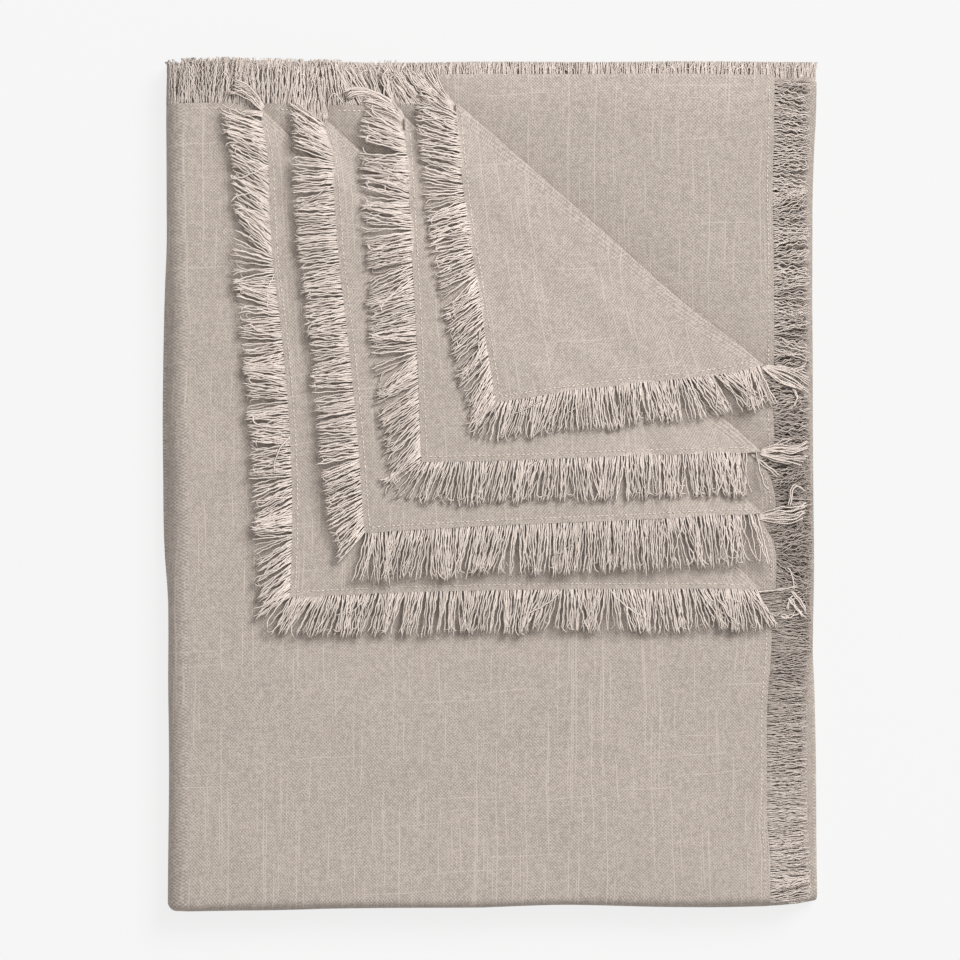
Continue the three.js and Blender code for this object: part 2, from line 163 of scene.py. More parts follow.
class Flap:
    """A turned-back corner. Its slanting fold runs from the top hem to the right hem, and the
    tip is the corner of the cloth mirrored in that fold, but for a slide and a draw back. The
    fold is drawn in by the pulls at its two ends."""

    def __init__(self, layer, fold_x, fold_y, slide, draw, top_pull, right_pull, left, lower):
        self.layer = layer
        self.top = np.array((fold_x * MM, TOP_HEM_Y))
        self.right = np.array((RIGHT_HEM_X, fold_y * MM))
        self.fold_length = np.linalg.norm(self.right - self.top)
        self.along = (self.right - self.top) / self.fold_length
        self.to_flap = np.array((self.along[1], -self.along[0]))
        self.corner = np.array((RIGHT_HEM_X, TOP_HEM_Y))
        beyond = (self.corner - self.top) @ self.to_flap
        self.tip = self.corner - (2 * beyond + draw * MM) * self.to_flap + slide * MM * self.along
        self.top_pull, self.right_pull = np.array(top_pull) * MM, np.array(right_pull) * MM
        self.left, self.lower = left, lower
        self.pass_name, self.side = PLY_OF[layer]

    def past(self, places):
        """Distance past the slanting fold, towards the flap."""
        return (places[..., :2] - self.top) @ self.to_flap

    def share(self, places):
        """Share of the way along the slanting fold, from the top hem to the right hem."""
        return ((places[..., :2] - self.top) @ self.along) / self.fold_length

    def pull(self, places):
        """How the fold is drawn in beside these places."""
        share = np.clip(self.share(places), 0, 1)[..., None]
        return self.top_pull + (self.right_pull - self.top_pull) * share

    def beyond(self, places):
        """Distance beyond the fold as it is drawn in, on the side that is bared."""
        return self.pull(places) @ self.to_flap - self.past(places)

    def drawn(self, places):
        """Places of the flap and of its own layer, drawn in with the fold. The pull fades with
        the distance from the fold, sooner near the ends."""
        share = self.share(places)
        inside = np.clip(share, 0, 1)
        middle = smooth(np.minimum(inside, 1 - inside) / PULL_MIDDLE)
        reach = (PULL_REACH + PULL_REACH_MORE * middle) * MM
        away = self.past(places) ** 2 + ((share - inside) * self.fold_length) ** 2
        return places + np.exp(-away / (2 * reach**2))[..., None] * self.pull(places)

    def hem(self, which, share):
        """A hem from the slanting fold (0) to the tip (1): a straight line, moved along the fold
        by half a sine wave (the bow) and a whole one (the sway)."""
        start, hem, outward = (
            (self.top, self.left, -1) if which == "left" else (self.right, self.lower, 1)
        )
        share = np.asarray(share)[..., None]
        bend = hem.bow * np.sin(np.pi * share) + hem.sway * np.sin(2 * np.pi * share)
        return start + (self.tip - start) * share + outward * bend * self.along

    def height(self, places, ahead=0.0):
        """Height of the flap's middle: a little over its own layer at the fold, swelling away
        from it, and higher by a smooth step wherever it has climbed over a lower flap's fold."""
        past = self.past(places)
        foot = places[..., :2] - past[..., None] * self.to_flap
        risen = np.zeros(places.shape[:-1])
        for other in FLAPS[: self.layer - 1]:
            risen = risen + smooth((ahead + CLIMB_GAP - other.beyond(places)) / CLIMB_WIDTH + 1)
        past = np.maximum(past, 0)
        puff = waves(places[..., :2], PUFF_LENGTH, 40 + self.layer) * smooth(past / PUFF_START)
        flat = layer_height(self.layer) + bare_swell(self.layer, foot) + FLAP_RISE
        swell = FLAP_SWELL * (1 - np.exp(-past / FLAP_SWELL_LENGTH)) + PUFF * puff
        return flat + swell + (PITCH + FLAP_RISE) * risen


def bare_swell(layer, places):
    """How much a layer swells where the corner over it is turned back. It comes down again at
    the folded top edge."""
    swell = np.zeros(places.shape[:-1])
    for flap in FLAPS:
        beyond = np.maximum(flap.beyond(places), 0)
        own = np.asarray(layer) == flap.layer + 1
        swell = np.where(own, BARE_SWELL * (1 - np.exp(-beyond / BARE_SWELL_LENGTH)), swell)
    return swell * smooth((UPPER_TURN_Y - places[..., 1]) / BARE_SWELL_END)


def smooth(share):
    """An eased step from 0 to 1."""
    share = np.clip(share, 0, 1)
    return share * share * (3 - 2 * share)


def layer_height(layer):
    """Height of the middle of a layer of the pile."""
    return MID_HEIGHT + (HALF_LAYERS + 0.5 - layer) * PITCH


# Layer; where the fold meets the top and right hems; slide and draw of the tip; pulls at the top
# and right hems; and the left and lower hems
FLAPS = [
    Flap(
        1, -112.3, -49.2, 1.0, 2.0, (-5.0, -3.4), (-8.5, -2.0),
        Hem(-1.5, 4.0, 22.0, 1.0, 6.0, [
            (0, -0.15), (0.1, -0.4), (0.2, -0.8), (0.27, -0.7), (0.34, -0.2), (0.45, -0.05),
            (0.66, 0.0), (0.78, 0.25), (0.88, 0.5), (1, 1.0)]),
        Hem(-1.0, 0.6, 23.0, 1.0, 1.0, [
            (0, -0.35), (0.12, -0.2), (0.3, 0.0), (0.7, 0.2), (0.9, 0.4), (1, 0.8)]),
    ),
    Flap(
        2, -80.9, -9.3, -0.8, 1.8, (-4.0, -8.5), (-8.5, -2.3),
        Hem(3.0, 1.8, 21.0, 0.45, 1.0, [
            (0, -0.55), (0.11, -0.5), (0.15, 0.0), (0.7, 0.05), (0.82, 0.15), (0.9, 0.4),
            (1, 1.0)]),
        Hem(1.6, 1.0, 27.0, 0.8, 1.0, [
            (0, 0.0), (0.1, -0.08), (0.3, 0.0), (0.6, 0.15), (0.9, 0.25), (1, 0.2)], 0.25),
    ),
    Flap(
        3, -43.3, 20.3, -0.6, 1.2, (-1.3, -7.5), (-8.0, -0.5),
        Hem(0.8, 0.6, 25.0, 0.9, 8.0, [
            (0, -0.5), (0.1, -0.4), (0.19, 0.0), (0.29, -0.3), (0.38, 0.05), (0.48, 0.4),
            (0.56, 0.1), (0.68, 0.2), (0.78, 0.6), (1, 1.0)]),
        Hem(0.8, -0.4, 23.0, 0.7, 1.0, [
            (0, -0.06), (0.12, -0.08), (0.35, 0.0), (0.55, 0.05), (0.75, 0.2), (0.9, 0.25),
            (1, 0.7)], 0.35),
    ),
    Flap(
        4, -17.5, 61.3, -6.0, 0.6, (-1.3, -0.5), (-6.3, 2.6),
        Hem(4.0, 0.6, 21.5, 1.1, 4.5, [
            (0, -0.6), (0.1, -0.4), (0.25, -0.1), (0.4, 0.05), (0.55, 0.3), (0.7, 0.6),
            (0.85, 0.85), (1, 1.0)]),
        Hem(-1.6, 0.4, 22.0, 1.1, 1.0, [
            (0, -0.15), (0.06, -0.25), (0.14, -0.65), (0.27, -0.35), (0.4, -0.1), (0.6, 0.05),
            (0.75, 0.35), (0.9, 0.5), (1, 0.8)]),
    ),
]


def waves(places, wavelength, seed):
    """Smooth unevenness of about -1 to 1: a sum of sine waves of random heading and phase, with
    lengths near the one given. The last axis of places holds the coordinates."""
    rng = np.random.default_rng(seed)
    count = 8
    places = np.asarray(places, float)
    headings = rng.normal(size=(places.shape[-1], count))
    headings /= np.linalg.norm(headings, axis=0)
    headings *= 2 * np.pi / (wavelength * rng.uniform(0.65, 1.5, count))
    return np.sin(places @ headings + rng.uniform(0, 2 * np.pi, count)).sum(-1) / np.sqrt(count)


def line_waves(distance, wavelength, seed):
    """The same unevenness along a line."""
    return waves(np.asarray(distance)[..., None], wavelength, seed)


def stray(y, table, column):
    """The stray of an edge at y: the table read every millimetre between its rows, and then
    evened out by a sliding mean, weighted by a bell curve of a width and cut off, in mm."""
    most, width, cut = 260, 7, 30
    ys = np.linspace(-most * MM, most * MM, 2 * most + 1)
    values = np.interp(ys, table[0], table[column])
    bell = np.exp(-0.5 * (np.arange(-cut, cut + 1) / width) ** 2)
    padded = np.pad(values, cut, mode="edge")
    return np.interp(y, ys, np.convolve(padded, bell / bell.sum(), mode="valid"))


def drawn(points, layer):
    """Points, each of the layer given for it, drawn in with that layer's slanting fold."""
    points = np.array(points, float)
    for flap in FLAPS:
        own = np.broadcast_to(np.asarray(layer) == flap.layer, points.shape[:-1])
        moved = flap.drawn(points[..., :2])
        points[..., :2] = np.where(own[..., None], moved, points[..., :2])
    return points


def settled(points):
    """The unevenness of the whole pile, moved the same way for all that lies together: the hems
    and edges stray, the folds waver a little along their length, and the thickness varies."""
    points = np.array(points, float)
    x, y, z = (points[..., i].copy() for i in range(3))
    half = PILE_WIDTH / 2
    plan = np.stack([x, y], -1)
    deep = np.stack([x, y, z * DEPTH_STRETCH], -1)
    under = smooth((MID_HEIGHT + 1 * MM - z) / UNDER_FADE)
    left = stray(y, EDGE_STRAY, 1) + under * stray(y, EDGE_STRAY, 3)
    wide = stray(y, EDGE_STRAY, 2) * smooth(x / half) - left * smooth(-x / half)
    upper = smooth((z - MID_HEIGHT + HEM_FADE) / HEM_FADE)
    hems = upper * smooth((x - HEM_LIMIT_X) / HEM_FADE_WIDTH) * stray(y, HEM_STRAY, 1)
    near_end = smooth((np.abs(y) - END_Y) / END_FADE)
    waver = (WAVER_Y + WAVER_Y_MORE * near_end) * MM
    thickness = 1 + LONG_WAVER * waves(plan, LONG_WAVER_LENGTH, 13)
    thickness = thickness + SHORT_WAVER * waves(plan, SHORT_WAVER_LENGTH, 14)
    points[..., 0] = x + wide + hems + WAVER_X * waves(deep, WAVER_X_LENGTH, 11)
    points[..., 1] = y + waver * waves(deep, WAVER_Y_LENGTH, 12)
    points[..., 1] += smooth((-END_Y - y) / END_FADE) * np.interp(x, *LOWER_STRAY)
    points[..., 2] = z * thickness
    return points


# The folded cloth

def steps(breaks, spacing):
    """Values from the first break to the last, evenly spaced between each two."""
    parts = [np.array([breaks[0]])]
    for start, end in zip(breaks[:-1], breaks[1:]):
        count = max(1, int(np.ceil(abs(end - start) / spacing)))
        parts.append(np.linspace(start, end, count + 1)[1:])
    return np.concatenate(parts)


class PairPath:
    """The middle line between the two plies, along the pile: y, z over the mid plane, the
    direction (ny, nz) to the first ply, the pass, and the distance run. Straight passes at 7,
    1, 3 and 5 pitches are joined by half circles at the folds."""

    def __init__(self, spacing):
        rows = []
        folds = [flap.right[1] for flap in FLAPS]
        lows = sorted([LOWER_TURN_Y, *folds, TOP_HEM_Y])

        def run(name, pitches, facing, ys):
            level = np.full(len(ys), pitches * PITCH)
            rows.append((ys, level, 0 * ys, facing + 0 * ys, [name] * len(ys)))

        def turn(y, pitches, radius, from_deg, to_deg, facing, count):
            angle = np.radians(np.linspace(from_deg, to_deg, count + 1)[1:-1])
            ny, nz = np.cos(angle), np.sin(angle)
            z = pitches * PITCH + radius * nz
            rows.append((y + radius * ny, z, facing * ny, facing * nz, ["turn"] * len(angle)))

        highs = [*lows, UPPER_TURN_Y]
        run("first", 7, 1, steps(lows[::-1], spacing))
        turn(LOWER_TURN_Y, 4, 3 * PITCH, 90, 270, 1, 14)
        run("outer", 1, -1, steps(highs, spacing))
        turn(UPPER_TURN_Y, 2, PITCH, -90, 90, 1, 10)
        run("inner", 3, 1, steps(highs[::-1], spacing))
        turn(LOWER_TURN_Y, 4, PITCH, 270, 90, -1, 10)
        run("last", 5, -1, steps(lows, spacing))
        columns = (np.concatenate(column) for column in zip(*rows))
        self.y, self.z, self.ny, self.nz, self.name = columns
        gone = np.hypot(np.diff(self.y), np.diff(self.z))
        self.distance = np.concatenate([[0], np.cumsum(gone)])
        self.length = self.distance[-1]

    def at(self, distance):
        """y, z, ny and nz at distances along the path."""
        return [np.interp(distance, self.distance, v) for v in (self.y, self.z, self.ny, self.nz)]


class AcrossPath:
    """The cloth across the pile: the first ply from its right hem, round the thick left fold
    and along the under half, round the folded right edge, and the second ply back again."""

    def __init__(self, spacing):
        upper = 1 - steps([0, 1], spacing / (RIGHT_HEM_X - LEFT_TURN_X))
        lower = steps([0, 1], spacing / (RIGHT_TURN_X - LEFT_TURN_X))
        turn = np.pi * np.linspace(0, 1, LEFT_FOLD_STEPS + 1)[1:-1]
        edge = np.pi * np.linspace(0, 1, FOLD_STEPS + 1)[1:-1]
        ply = [
            *[(UPPER, value) for value in upper],
            *[(TURN, value) for value in turn],
            *[(LOWER, value) for value in lower],
        ]
        rows = [
            *[(zone, value, 1) for zone, value in ply],
            *[(EDGE, value, 0) for value in edge],
            *[(zone, value, -1) for zone, value in reversed(ply)],
        ]
        self.zone, self.value, self.side = (np.array(c, float) for c in zip(*rows))
        self.upper_width = RIGHT_HEM_X - LEFT_TURN_X
        self.turn_width = np.pi * LEFT_FOLD_RADIUS
        self.lower_width = RIGHT_TURN_X - LEFT_TURN_X
        self.ply_width = self.upper_width + self.turn_width + self.lower_width
        self.width = 2 * self.ply_width + np.pi * PITCH / 2

    def distance(self, x):
        """Distance from the first ply's right hem, with x for the places on the upper half."""
        value = self.value[:, None]
        share = value / np.pi
        ply = np.select(
            [self.zone[:, None] == zone for zone in (UPPER, TURN, LOWER)],
            [
                RIGHT_HEM_X - x,
                self.upper_width + self.turn_width * share,
                self.ply_width - self.lower_width * (1 - value),
            ],
            self.ply_width + (self.width - 2 * self.ply_width) * share,
        )
        return np.where(self.side[:, None] < 0, self.width - ply, ply)


def folded(zone, value, side, y, z, ny, nz, lift, end_x):
    """Points of the folded cloth. The ply lies half a pitch off the pair's middle line, plus
    lift. Across the pile, the upper half is flat, the thick left fold turns it by half a circle
    about the mid plane, the under half is flat again, and the folded edge is a half tube."""
    off = PITCH / 2 + lift
    from_pair = np.where(zone == EDGE, off * np.cos(value), off * side)
    along, above = y + from_pair * ny, z + from_pair * nz
    share = np.where(zone == EDGE, 1, value)
    angle = np.where(zone == TURN, value, 0)
    bulge = np.where(zone == EDGE, off * np.sin(value), 0)
    half = [zone == UPPER, zone == TURN]
    x = np.select(
        half,
        [LEFT_TURN_X + (end_x - LEFT_TURN_X) * value, LEFT_TURN_X - above * np.sin(angle)],
        LEFT_TURN_X + (RIGHT_TURN_X - LEFT_TURN_X) * share + bulge,
    )
    height = np.select(half, [above, above * np.cos(angle)], -above)
    slip = UNDER_HALF_SLIP * np.select(half, [0, angle / np.pi], 1)
    return np.stack(np.broadcast_arrays(x, along - slip, MID_HEIGHT + height), -1)


def grid_faces(numbers, turned_over=False):
    """Two triangles for each cell of a grid of vertex numbers, less those shrunk to a line."""
    a, b = numbers[:-1, :-1], numbers[1:, :-1]
    d, e = numbers[:-1, 1:], numbers[1:, 1:]
    faces = np.concatenate([np.stack([a, b, e], -1), np.stack([a, e, d], -1)]).reshape(-1, 3)
    whole = (faces != np.roll(faces, 1, axis=1)).all(1)
    faces = faces[whole]
    return faces[:, ::-1] if turned_over else faces


def closed(outer, inner, faces):
    """Closes a sheet: its outer faces, its inner faces turned over, and a wall of two triangles
    on every edge that only one face has."""
    count = len(outer)
    edges = np.concatenate([faces[:, [0, 1]], faces[:, [1, 2]], faces[:, [2, 0]]])
    free = ~np.isin(edges[:, 0] * count + edges[:, 1], edges[:, 1] * count + edges[:, 0])
    a, b = edges[free].T
    walls = [np.stack([b, a, a + count], -1), np.stack([b, a + count, b + count], -1)]
    every = np.concatenate([faces, faces[:, ::-1] + count, *walls])
    return np.concatenate([outer, inner]), every


class Sheet:
    """Points of a cloth, each with an outer and an inner place and its place on the flat cloth."""

    def __init__(self):
        self.outer, self.inner, self.flat, self.faces = [], [], [], []
        self.count = 0

    def add(self, outer, inner, flat):
        """Adds a grid of points and returns their numbers."""
        shape = outer.shape[:-1]
        for store, new in ((self.outer, outer), (self.inner, inner), (self.flat, flat)):
            store.append(new.reshape(-1, new.shape[-1]))
        numbers = self.count + np.arange(np.prod(shape)).reshape(shape)
        self.count += numbers.size
        return numbers


def right_end(path, side):
    """Where the upper half ends on the right, along the path: at the right hem, or at the
    slanting fold of the layer's own flap."""
    end = np.full(len(path.y), RIGHT_HEM_X)
    for flap in FLAPS:
        share = np.clip((path.y - flap.right[1]) / (TOP_HEM_Y - flap.right[1]), 0, 1)
        slant = RIGHT_HEM_X + (flap.top[0] - RIGHT_HEM_X) * share
        own = (path.name == flap.pass_name) & (flap.side == side)
        end = np.where(own, slant, end)
    return end


def layer_grid(path, across):
    """The layer of each point of the folded grid: 1 to 8 on the upper half, and 0 elsewhere."""
    numbers = np.zeros((len(across.zone), len(path.y)), int)
    for layer, (name, side) in PLY_OF.items():
        rows = (across.zone == UPPER) & (across.side == side)
        numbers[np.ix_(rows, path.name == name)] = layer
    return numbers


def flat_of(flap, places, path, across):
    """Where places in plan, before the corner was turned back, are on the flat cloth."""
    from_hem = RIGHT_HEM_X - places[..., 0]
    run = TOP_HEM_Y - places[..., 1]
    u = from_hem if flap.side > 0 else across.width - from_hem
    v = run if flap.pass_name == "first" else path.length - run
    return np.stack([u, v], -1)


def flap_patch(sheet, flap, edge_numbers, shares, path, across, thickness, spacing):
    """The turned-back corner: a half tube round the slanting fold, then rows that run parallel
    to the fold and shrink towards the tip, each point between the two hems."""
    facing = 1 if flap.layer % 2 else -1
    half = thickness / 2 * facing
    on_fold = flap.right + (flap.top - flap.right) * shares[:, None]
    base = layer_height(flap.layer) + bare_swell(flap.layer, on_fold)
    rows = [edge_numbers]
    angle = np.pi * np.linspace(0, 1, FOLD_STEPS + 1)[1:, None]
    spots, heights = [], []
    middle = (flap.height(on_fold) - base)[None] / 2
    for lift in (half, -half):
        radius = middle - lift
        out = -radius * np.sin(angle)
        spots.append(on_fold[None] + out[..., None] * flap.to_flap)
        heights.append(base + middle - radius * np.cos(angle))
    outer, inner = (np.concatenate([s, h[..., None]], -1) for s, h in zip(spots, heights))
    depth = flap.past(flap.tip)

    def flat_at(down):
        ends = [at + (flap.corner - at) * down[:, None] for at in (flap.right, flap.top)]
        before = ends[0][:, None] + (ends[1] - ends[0])[:, None] * shares[None, :, None]
        return flat_of(flap, before, path, across)

    flat = flat_at(angle[:, 0] / np.pi * FOLD_RUN / depth)
    rows.extend(sheet.add(*(drawn(points, flap.layer) for points in (outer, inner)), flat))
    down = steps([0, 1], spacing / depth)[1:-1]
    lower, left = flap.hem("lower", down), flap.hem("left", down)
    spots = lower[:, None] + (left - lower)[:, None] * shares[None, :, None]
    height = flap.height(spots)
    outer = np.concatenate([spots, (height - half)[..., None]], -1)
    inner = np.concatenate([spots, (height + half)[..., None]], -1)
    places = (drawn(points, flap.layer) for points in (outer, inner))
    rows.extend(sheet.add(*places, flat_at(down)))
    level = float(flap.height(flap.tip))
    ends = [np.array([[*flap.tip, level - lift]]) for lift in (half, -half)]
    tip = sheet.add(*ends, flat_of(flap, flap.corner[None], path, across))
    rows.append(np.repeat(tip, len(shares)))
    sheet.faces.append(grid_faces(np.array(rows), facing < 0))


def cloth_shell(thickness, spacing):
    """The whole cloth as one closed shell: the folded grid, less the turned-back corners, and
    the four corners. Returns points, triangles, the place of each point on the flat cloth, and
    which points are of a turned-back corner."""
    path, across = PairPath(spacing), AcrossPath(spacing)
    first, second = (right_end(path, side) for side in (1, -1))
    end = np.where(across.side[:, None] < 0, second[None], first[None])
    column = [c[:, None] for c in (across.zone, across.value, across.side)]
    line = [r[None] for r in (path.y, path.z, path.ny, path.nz)]
    outer, inner = (folded(*column, *line, lift, end) for lift in (thickness / 2, -thickness / 2))
    u = across.distance((outer[..., 0] + inner[..., 0]) / 2)
    layers = layer_grid(path, across)
    for points in (outer, inner):
        points[..., 2] += bare_swell(layers, points)
    outer, inner = drawn(outer, layers), drawn(inner, layers)
    sheet = Sheet()
    grid = sheet.add(outer, inner, np.stack([u, path.distance[None] + 0 * u], -1))
    sheet.faces.append(grid_faces(grid))
    for flap in FLAPS:
        edge = grid[0] if flap.side > 0 else grid[-1]
        own = path.name == flap.pass_name
        kept = np.flatnonzero(own & (path.y >= flap.right[1] - SAME_PLACE))
        kept = kept[np.argsort(path.y[kept])]
        shares = (path.y[kept] - flap.right[1]) / (TOP_HEM_Y - flap.right[1])
        step = spacing * FLAP_GRID
        flap_patch(sheet, flap, edge[kept], shares, path, across, thickness, step)
    faces = np.concatenate(sheet.faces)
    outer, inner, flat = (np.concatenate(s) for s in (sheet.outer, sheet.inner, sheet.flat))
    points, every = closed(settled(outer), settled(inner), faces)
    turned = np.arange(len(flat)) >= grid.size
    return points, every, np.concatenate([flat, flat]), np.concatenate([turned, turned])


# Meshes

def mesh_object(name, points, faces, maps=(), values=()):
    """A smooth-shaded object at the origin. maps are (name, a pair of numbers for each point),
    and values are (name, one number for each point)."""
    mesh = bpy.data.meshes.new(name)
    mesh.vertices.add(len(points))
    mesh.vertices.foreach_set("co", np.ascontiguousarray(points, np.float32).ravel())
    mesh.loops.add(faces.size)
    mesh.loops.foreach_set("vertex_index", np.ascontiguousarray(faces, np.int32).ravel())
    mesh.polygons.add(len(faces))
    mesh.polygons.foreach_set("loop_start", np.arange(0, faces.size, 3, dtype=np.int32))
    mesh.polygons.foreach_set("use_smooth", np.ones(len(faces), bool))
    for map_name, places in maps:
        layer = mesh.uv_layers.new(name=map_name)
        layer.uv.foreach_set("vector", places[faces.ravel()].astype(np.float32).ravel())
    for value_name, numbers in values:
        store = mesh.attributes.new(value_name, "FLOAT", "POINT")
        store.data.foreach_set("value", numbers.astype(np.float32))
    mesh.update(calc_edges=True)
    mesh.validate()
    obj = bpy.data.objects.new(name, mesh)
    bpy.context.scene.collection.objects.link(obj)
    return obj


def unit(vectors):
    """Vectors of length 1 in the same directions."""
    return vectors / np.maximum(np.linalg.norm(vectors, axis=-1, keepdims=True), 1e-12)


# The fringe

class Yarns:
    """How a fringe's yarns look and behave: sizes in metres, headings in radians, tones from 0
    to 1. A tier is a set of yarns that lie one on another: spacing in mm, rise in mm, tone; a
    lower tier's tone under 1 is painted shade. tone scales the whole fringe, as painted light or
    shade where it is not 1. reach is the yarns' share of the fringe's length, and few go beyond
    cap, another share of it."""

    def __init__(self, settings, unrest=1.0, **changes):
        self.thickness = settings.yarn_thickness
        # The lower tier's tone of 0.9 is painted shade
        self.tiers = ((1.1, 0.75, 1.0), (1.5, 0.2, 0.9))
        self.lock_width = 7 * MM
        self.lean = 0.11 * unrest
        self.lock_lean = 0.15 * unrest
        self.fray = 0.05 * unrest
        self.curl = 0.2 * unrest
        self.wave = 0.22
        self.wave_length = 7.5 * MM
        self.ragged = 1.0
        self.loft = 1.3 * MM
        self.loose = 0.02 * unrest
        self.tone = 1.0
        self.reach = 1.0
        self.cap = 1.2
        self.segments = 13
        vars(self).update(changes)


class Roots:
    """Where the yarns of a fringe leave a hem: the place, the way out, the way along the hem,
    the distance along it, the layer, and a slope to lean by. ground gives the least height of a
    yarn's middle at places in plan; without it, a yarn sinks by droop on its way to the tip. tone
    scales the yarns' colour; on the right fringe it is painted shade."""

    def __init__(self, place, out, along, distance, layer, lean=0.0, ground=None, droop=0.0,
                 tone=1.0):
        self.place, self.out, self.along, self.distance = place, out, along, distance
        self.layer = layer
        self.lean = lean + np.zeros(len(place))
        self.ground = ground
        self.droop = droop + np.zeros(len(place))
        self.tone = tone


# How far inside the hem the yarns start, so that the cloth runs out into them
ROOT_INSET = 1.6 * MM


def strands(roots, reach, look, tier, seed):
    """Paths, radii and tones of one tier of yarns. A yarn keeps its length, and its heading,
    measured from the way out towards the way along the hem, is a lean that varies smoothly along
    the hem, with a step at each lock, a steady turn to the tip, a small wave, and for some a
    hook at the end. The path adds up its steps, and moves with its root."""
    rng = np.random.default_rng(seed)
    _, rise, tone = tier
    s, count, steps_out = roots.distance, len(roots.distance), look.segments
    cuts = s.min() + np.cumsum(rng.uniform(0.4, 1.7, int(np.ptp(s) / look.lock_width * 2) + 3)
                               * look.lock_width)
    lock = rng.uniform(-1, 1, (len(cuts) + 1, 3))[np.searchsorted(cuts, s)]
    lean = np.arctan(roots.lean) + look.lean * line_waves(s, 0.026, seed // 10 + 2)
    lean = lean + look.lock_lean * lock[:, 0] + look.fray * rng.normal(size=count)
    turn = look.curl * (0.7 * line_waves(s, 0.016, seed // 10 + 3) + 0.7 * lock[:, 1])
    turn = turn + 0.10 * rng.normal(size=count)
    loose = rng.uniform(size=count) < look.loose
    lean = lean + loose * rng.normal(0, 0.35, count)
    turn = turn + loose * rng.normal(0, 0.7, count)
    hook = rng.normal(0, 1, count) * (rng.uniform(size=count) < 0.3)
    short = np.where(rng.uniform(size=count) < 0.06, rng.uniform(0, 0.2, count), 0)
    short = short + 0.02 * line_waves(s, 0.045, seed // 10 + 4) + 0.025 * rng.normal(size=count)
    length = reach * look.reach * (1 - look.ragged * short) + ROOT_INSET
    way = np.linspace(0, 1, steps_out + 1)
    half_way = (way[1:] + way[:-1]) / 2
    rate = length / look.wave_length * rng.uniform(0.7, 1.4, count)
    phase = 2 * np.pi * (rate[:, None] * half_way + rng.uniform(0, 1, count)[:, None])
    sway = look.wave * rng.uniform(0.4, 1.3, count)[:, None] * np.sin(phase)
    bend = turn[:, None] * half_way + 1.3 * hook[:, None] * np.clip((half_way - 0.8) / 0.2, 0, 1)
    bend = (bend + lean[:, None]) * smooth(half_way * 9)
    heading = bend + sway * smooth(half_way * 4)
    step = (length / steps_out)[:, None, None]
    moves = np.cos(heading)[..., None] * roots.out[:, None] * step
    moves = moves + np.sin(heading)[..., None] * roots.along[:, None] * step
    path = np.concatenate([roots.place[:, None], moves], 1).cumsum(1)
    path = path - ROOT_INSET * roots.out[:, None]
    gone = ((path - roots.place[:, None]) * roots.out[:, None]).sum(-1, keepdims=True)
    path = path - 0.85 * np.maximum(gone - look.cap * reach, 0) * roots.out[:, None]
    path[..., 1] = np.maximum(path[..., 1], -PILE_LENGTH / 2)
    over = rng.uniform(size=count) ** 1.4 * look.loft + (0.5 + 0.5 * lock[:, 2]) * 0.5 * look.loft
    over = over + loose * 0.4 * look.loft + rise * MM
    lift = over[:, None] * smooth(way * 2.6 - 0.1) * (1 - 0.3 * way**2)
    lift = lift + (0.55 * smooth(way * 12) - 0.4) * MM
    if roots.ground is None:
        path[..., 2] += lift - roots.droop[:, None] * way**1.5
    else:
        path[..., 2] = roots.ground(path) + lift
    path = path + (drawn(roots.place, roots.layer) - roots.place)[:, None]
    slub = 1 + 0.15 * np.sin(2 * np.pi * (way * rng.uniform(0.5, 2, count)[:, None]
                                          + rng.uniform(size=count)[:, None]))
    thick = look.thickness / 2 * rng.uniform(0.85, 1.2, count)[:, None] * slub
    thick = thick * (1 - 0.2 * way**8) * (0.55 + 0.45 * smooth(way * 8))
    # The tones of the tier, the look and the roots are painted shade; the random share is each
    # yarn's own tone
    tones = tone * look.tone * roots.tone * rng.uniform(0.8, 1.04, count)
    return settled(path), thick, tones


def tubes(paths, radii, tones):
    """Flattened tubes along many paths at once, paths as (tube, step, 3) and radii as (tube,
    step): at each step a triangle across the path, with one corner on top, which also closes
    both ends. Returns points, triangles, and for each point its tube's number, its share of the
    way along, and its tone, which carries painted shade: full on top and about half of that at
    the sides."""
    count, length = paths.shape[:2]
    sides = 3
    ahead = unit(np.gradient(paths, axis=1))
    across = unit(np.cross(ahead, (0.0, 0.0, 1.0)))
    over = np.cross(across, ahead) * 0.6
    turn = np.pi / 2 + 2 * np.pi * np.arange(sides) / sides
    ring = across[:, :, None] * np.cos(turn)[:, None] + over[:, :, None] * np.sin(turn)[:, None]
    points = paths[:, :, None] + ring * radii[:, :, None, None]
    numbers = np.arange(points[..., 0].size).reshape(count, length, sides)
    a, b = numbers[:, :-1], numbers[:, 1:]
    a2, b2 = np.roll(a, -1, axis=2), np.roll(b, -1, axis=2)
    faces = [np.stack([a, a2, b2], -1).reshape(-1, 3), np.stack([a, b2, b], -1).reshape(-1, 3)]
    faces.append(numbers[:, 0][:, [0, 2, 1]])
    faces.append(numbers[:, -1])
    tube = np.repeat(np.arange(count), length * sides)
    share = np.tile(np.repeat(np.linspace(0, 1, length), sides), count)
    # Painted shade: the lower corners, on the yarn's sides, get half the tone
    painted_side_shade = np.where(np.sin(turn) < 0, 0.5, 1.0)
    tone = tones[:, None, None] * painted_side_shade + np.zeros((length, 1))
    return points.reshape(-1, 3), np.concatenate(faces), tube, share, tone.reshape(-1)


def yarn_object(name, paths, radii, tones, node=None):
    """One object of many yarns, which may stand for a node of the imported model."""
    points, faces, tube, share, tone = tubes(paths, radii, tones)
    points[:, 2] = np.maximum(points[:, 2], 0.05 * MM)
    strip = (tube * 0.618034) % 1
    maps = [("yarn", np.stack([0.02 + 0.96 * share, 0.02 + 0.96 * strip], -1))]
    obj = mesh_object(name, points, faces, maps, [("shade", tone)])
    obj.data.materials.append(bpy.data.materials["frayed_yarn"])
    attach(obj, "root")
    if node:
        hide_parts(node)


def joined(parts):
    """Paths, radii and tones of several runs of yarns, put one after another."""
    return [np.concatenate(values) for values in zip(*parts)]


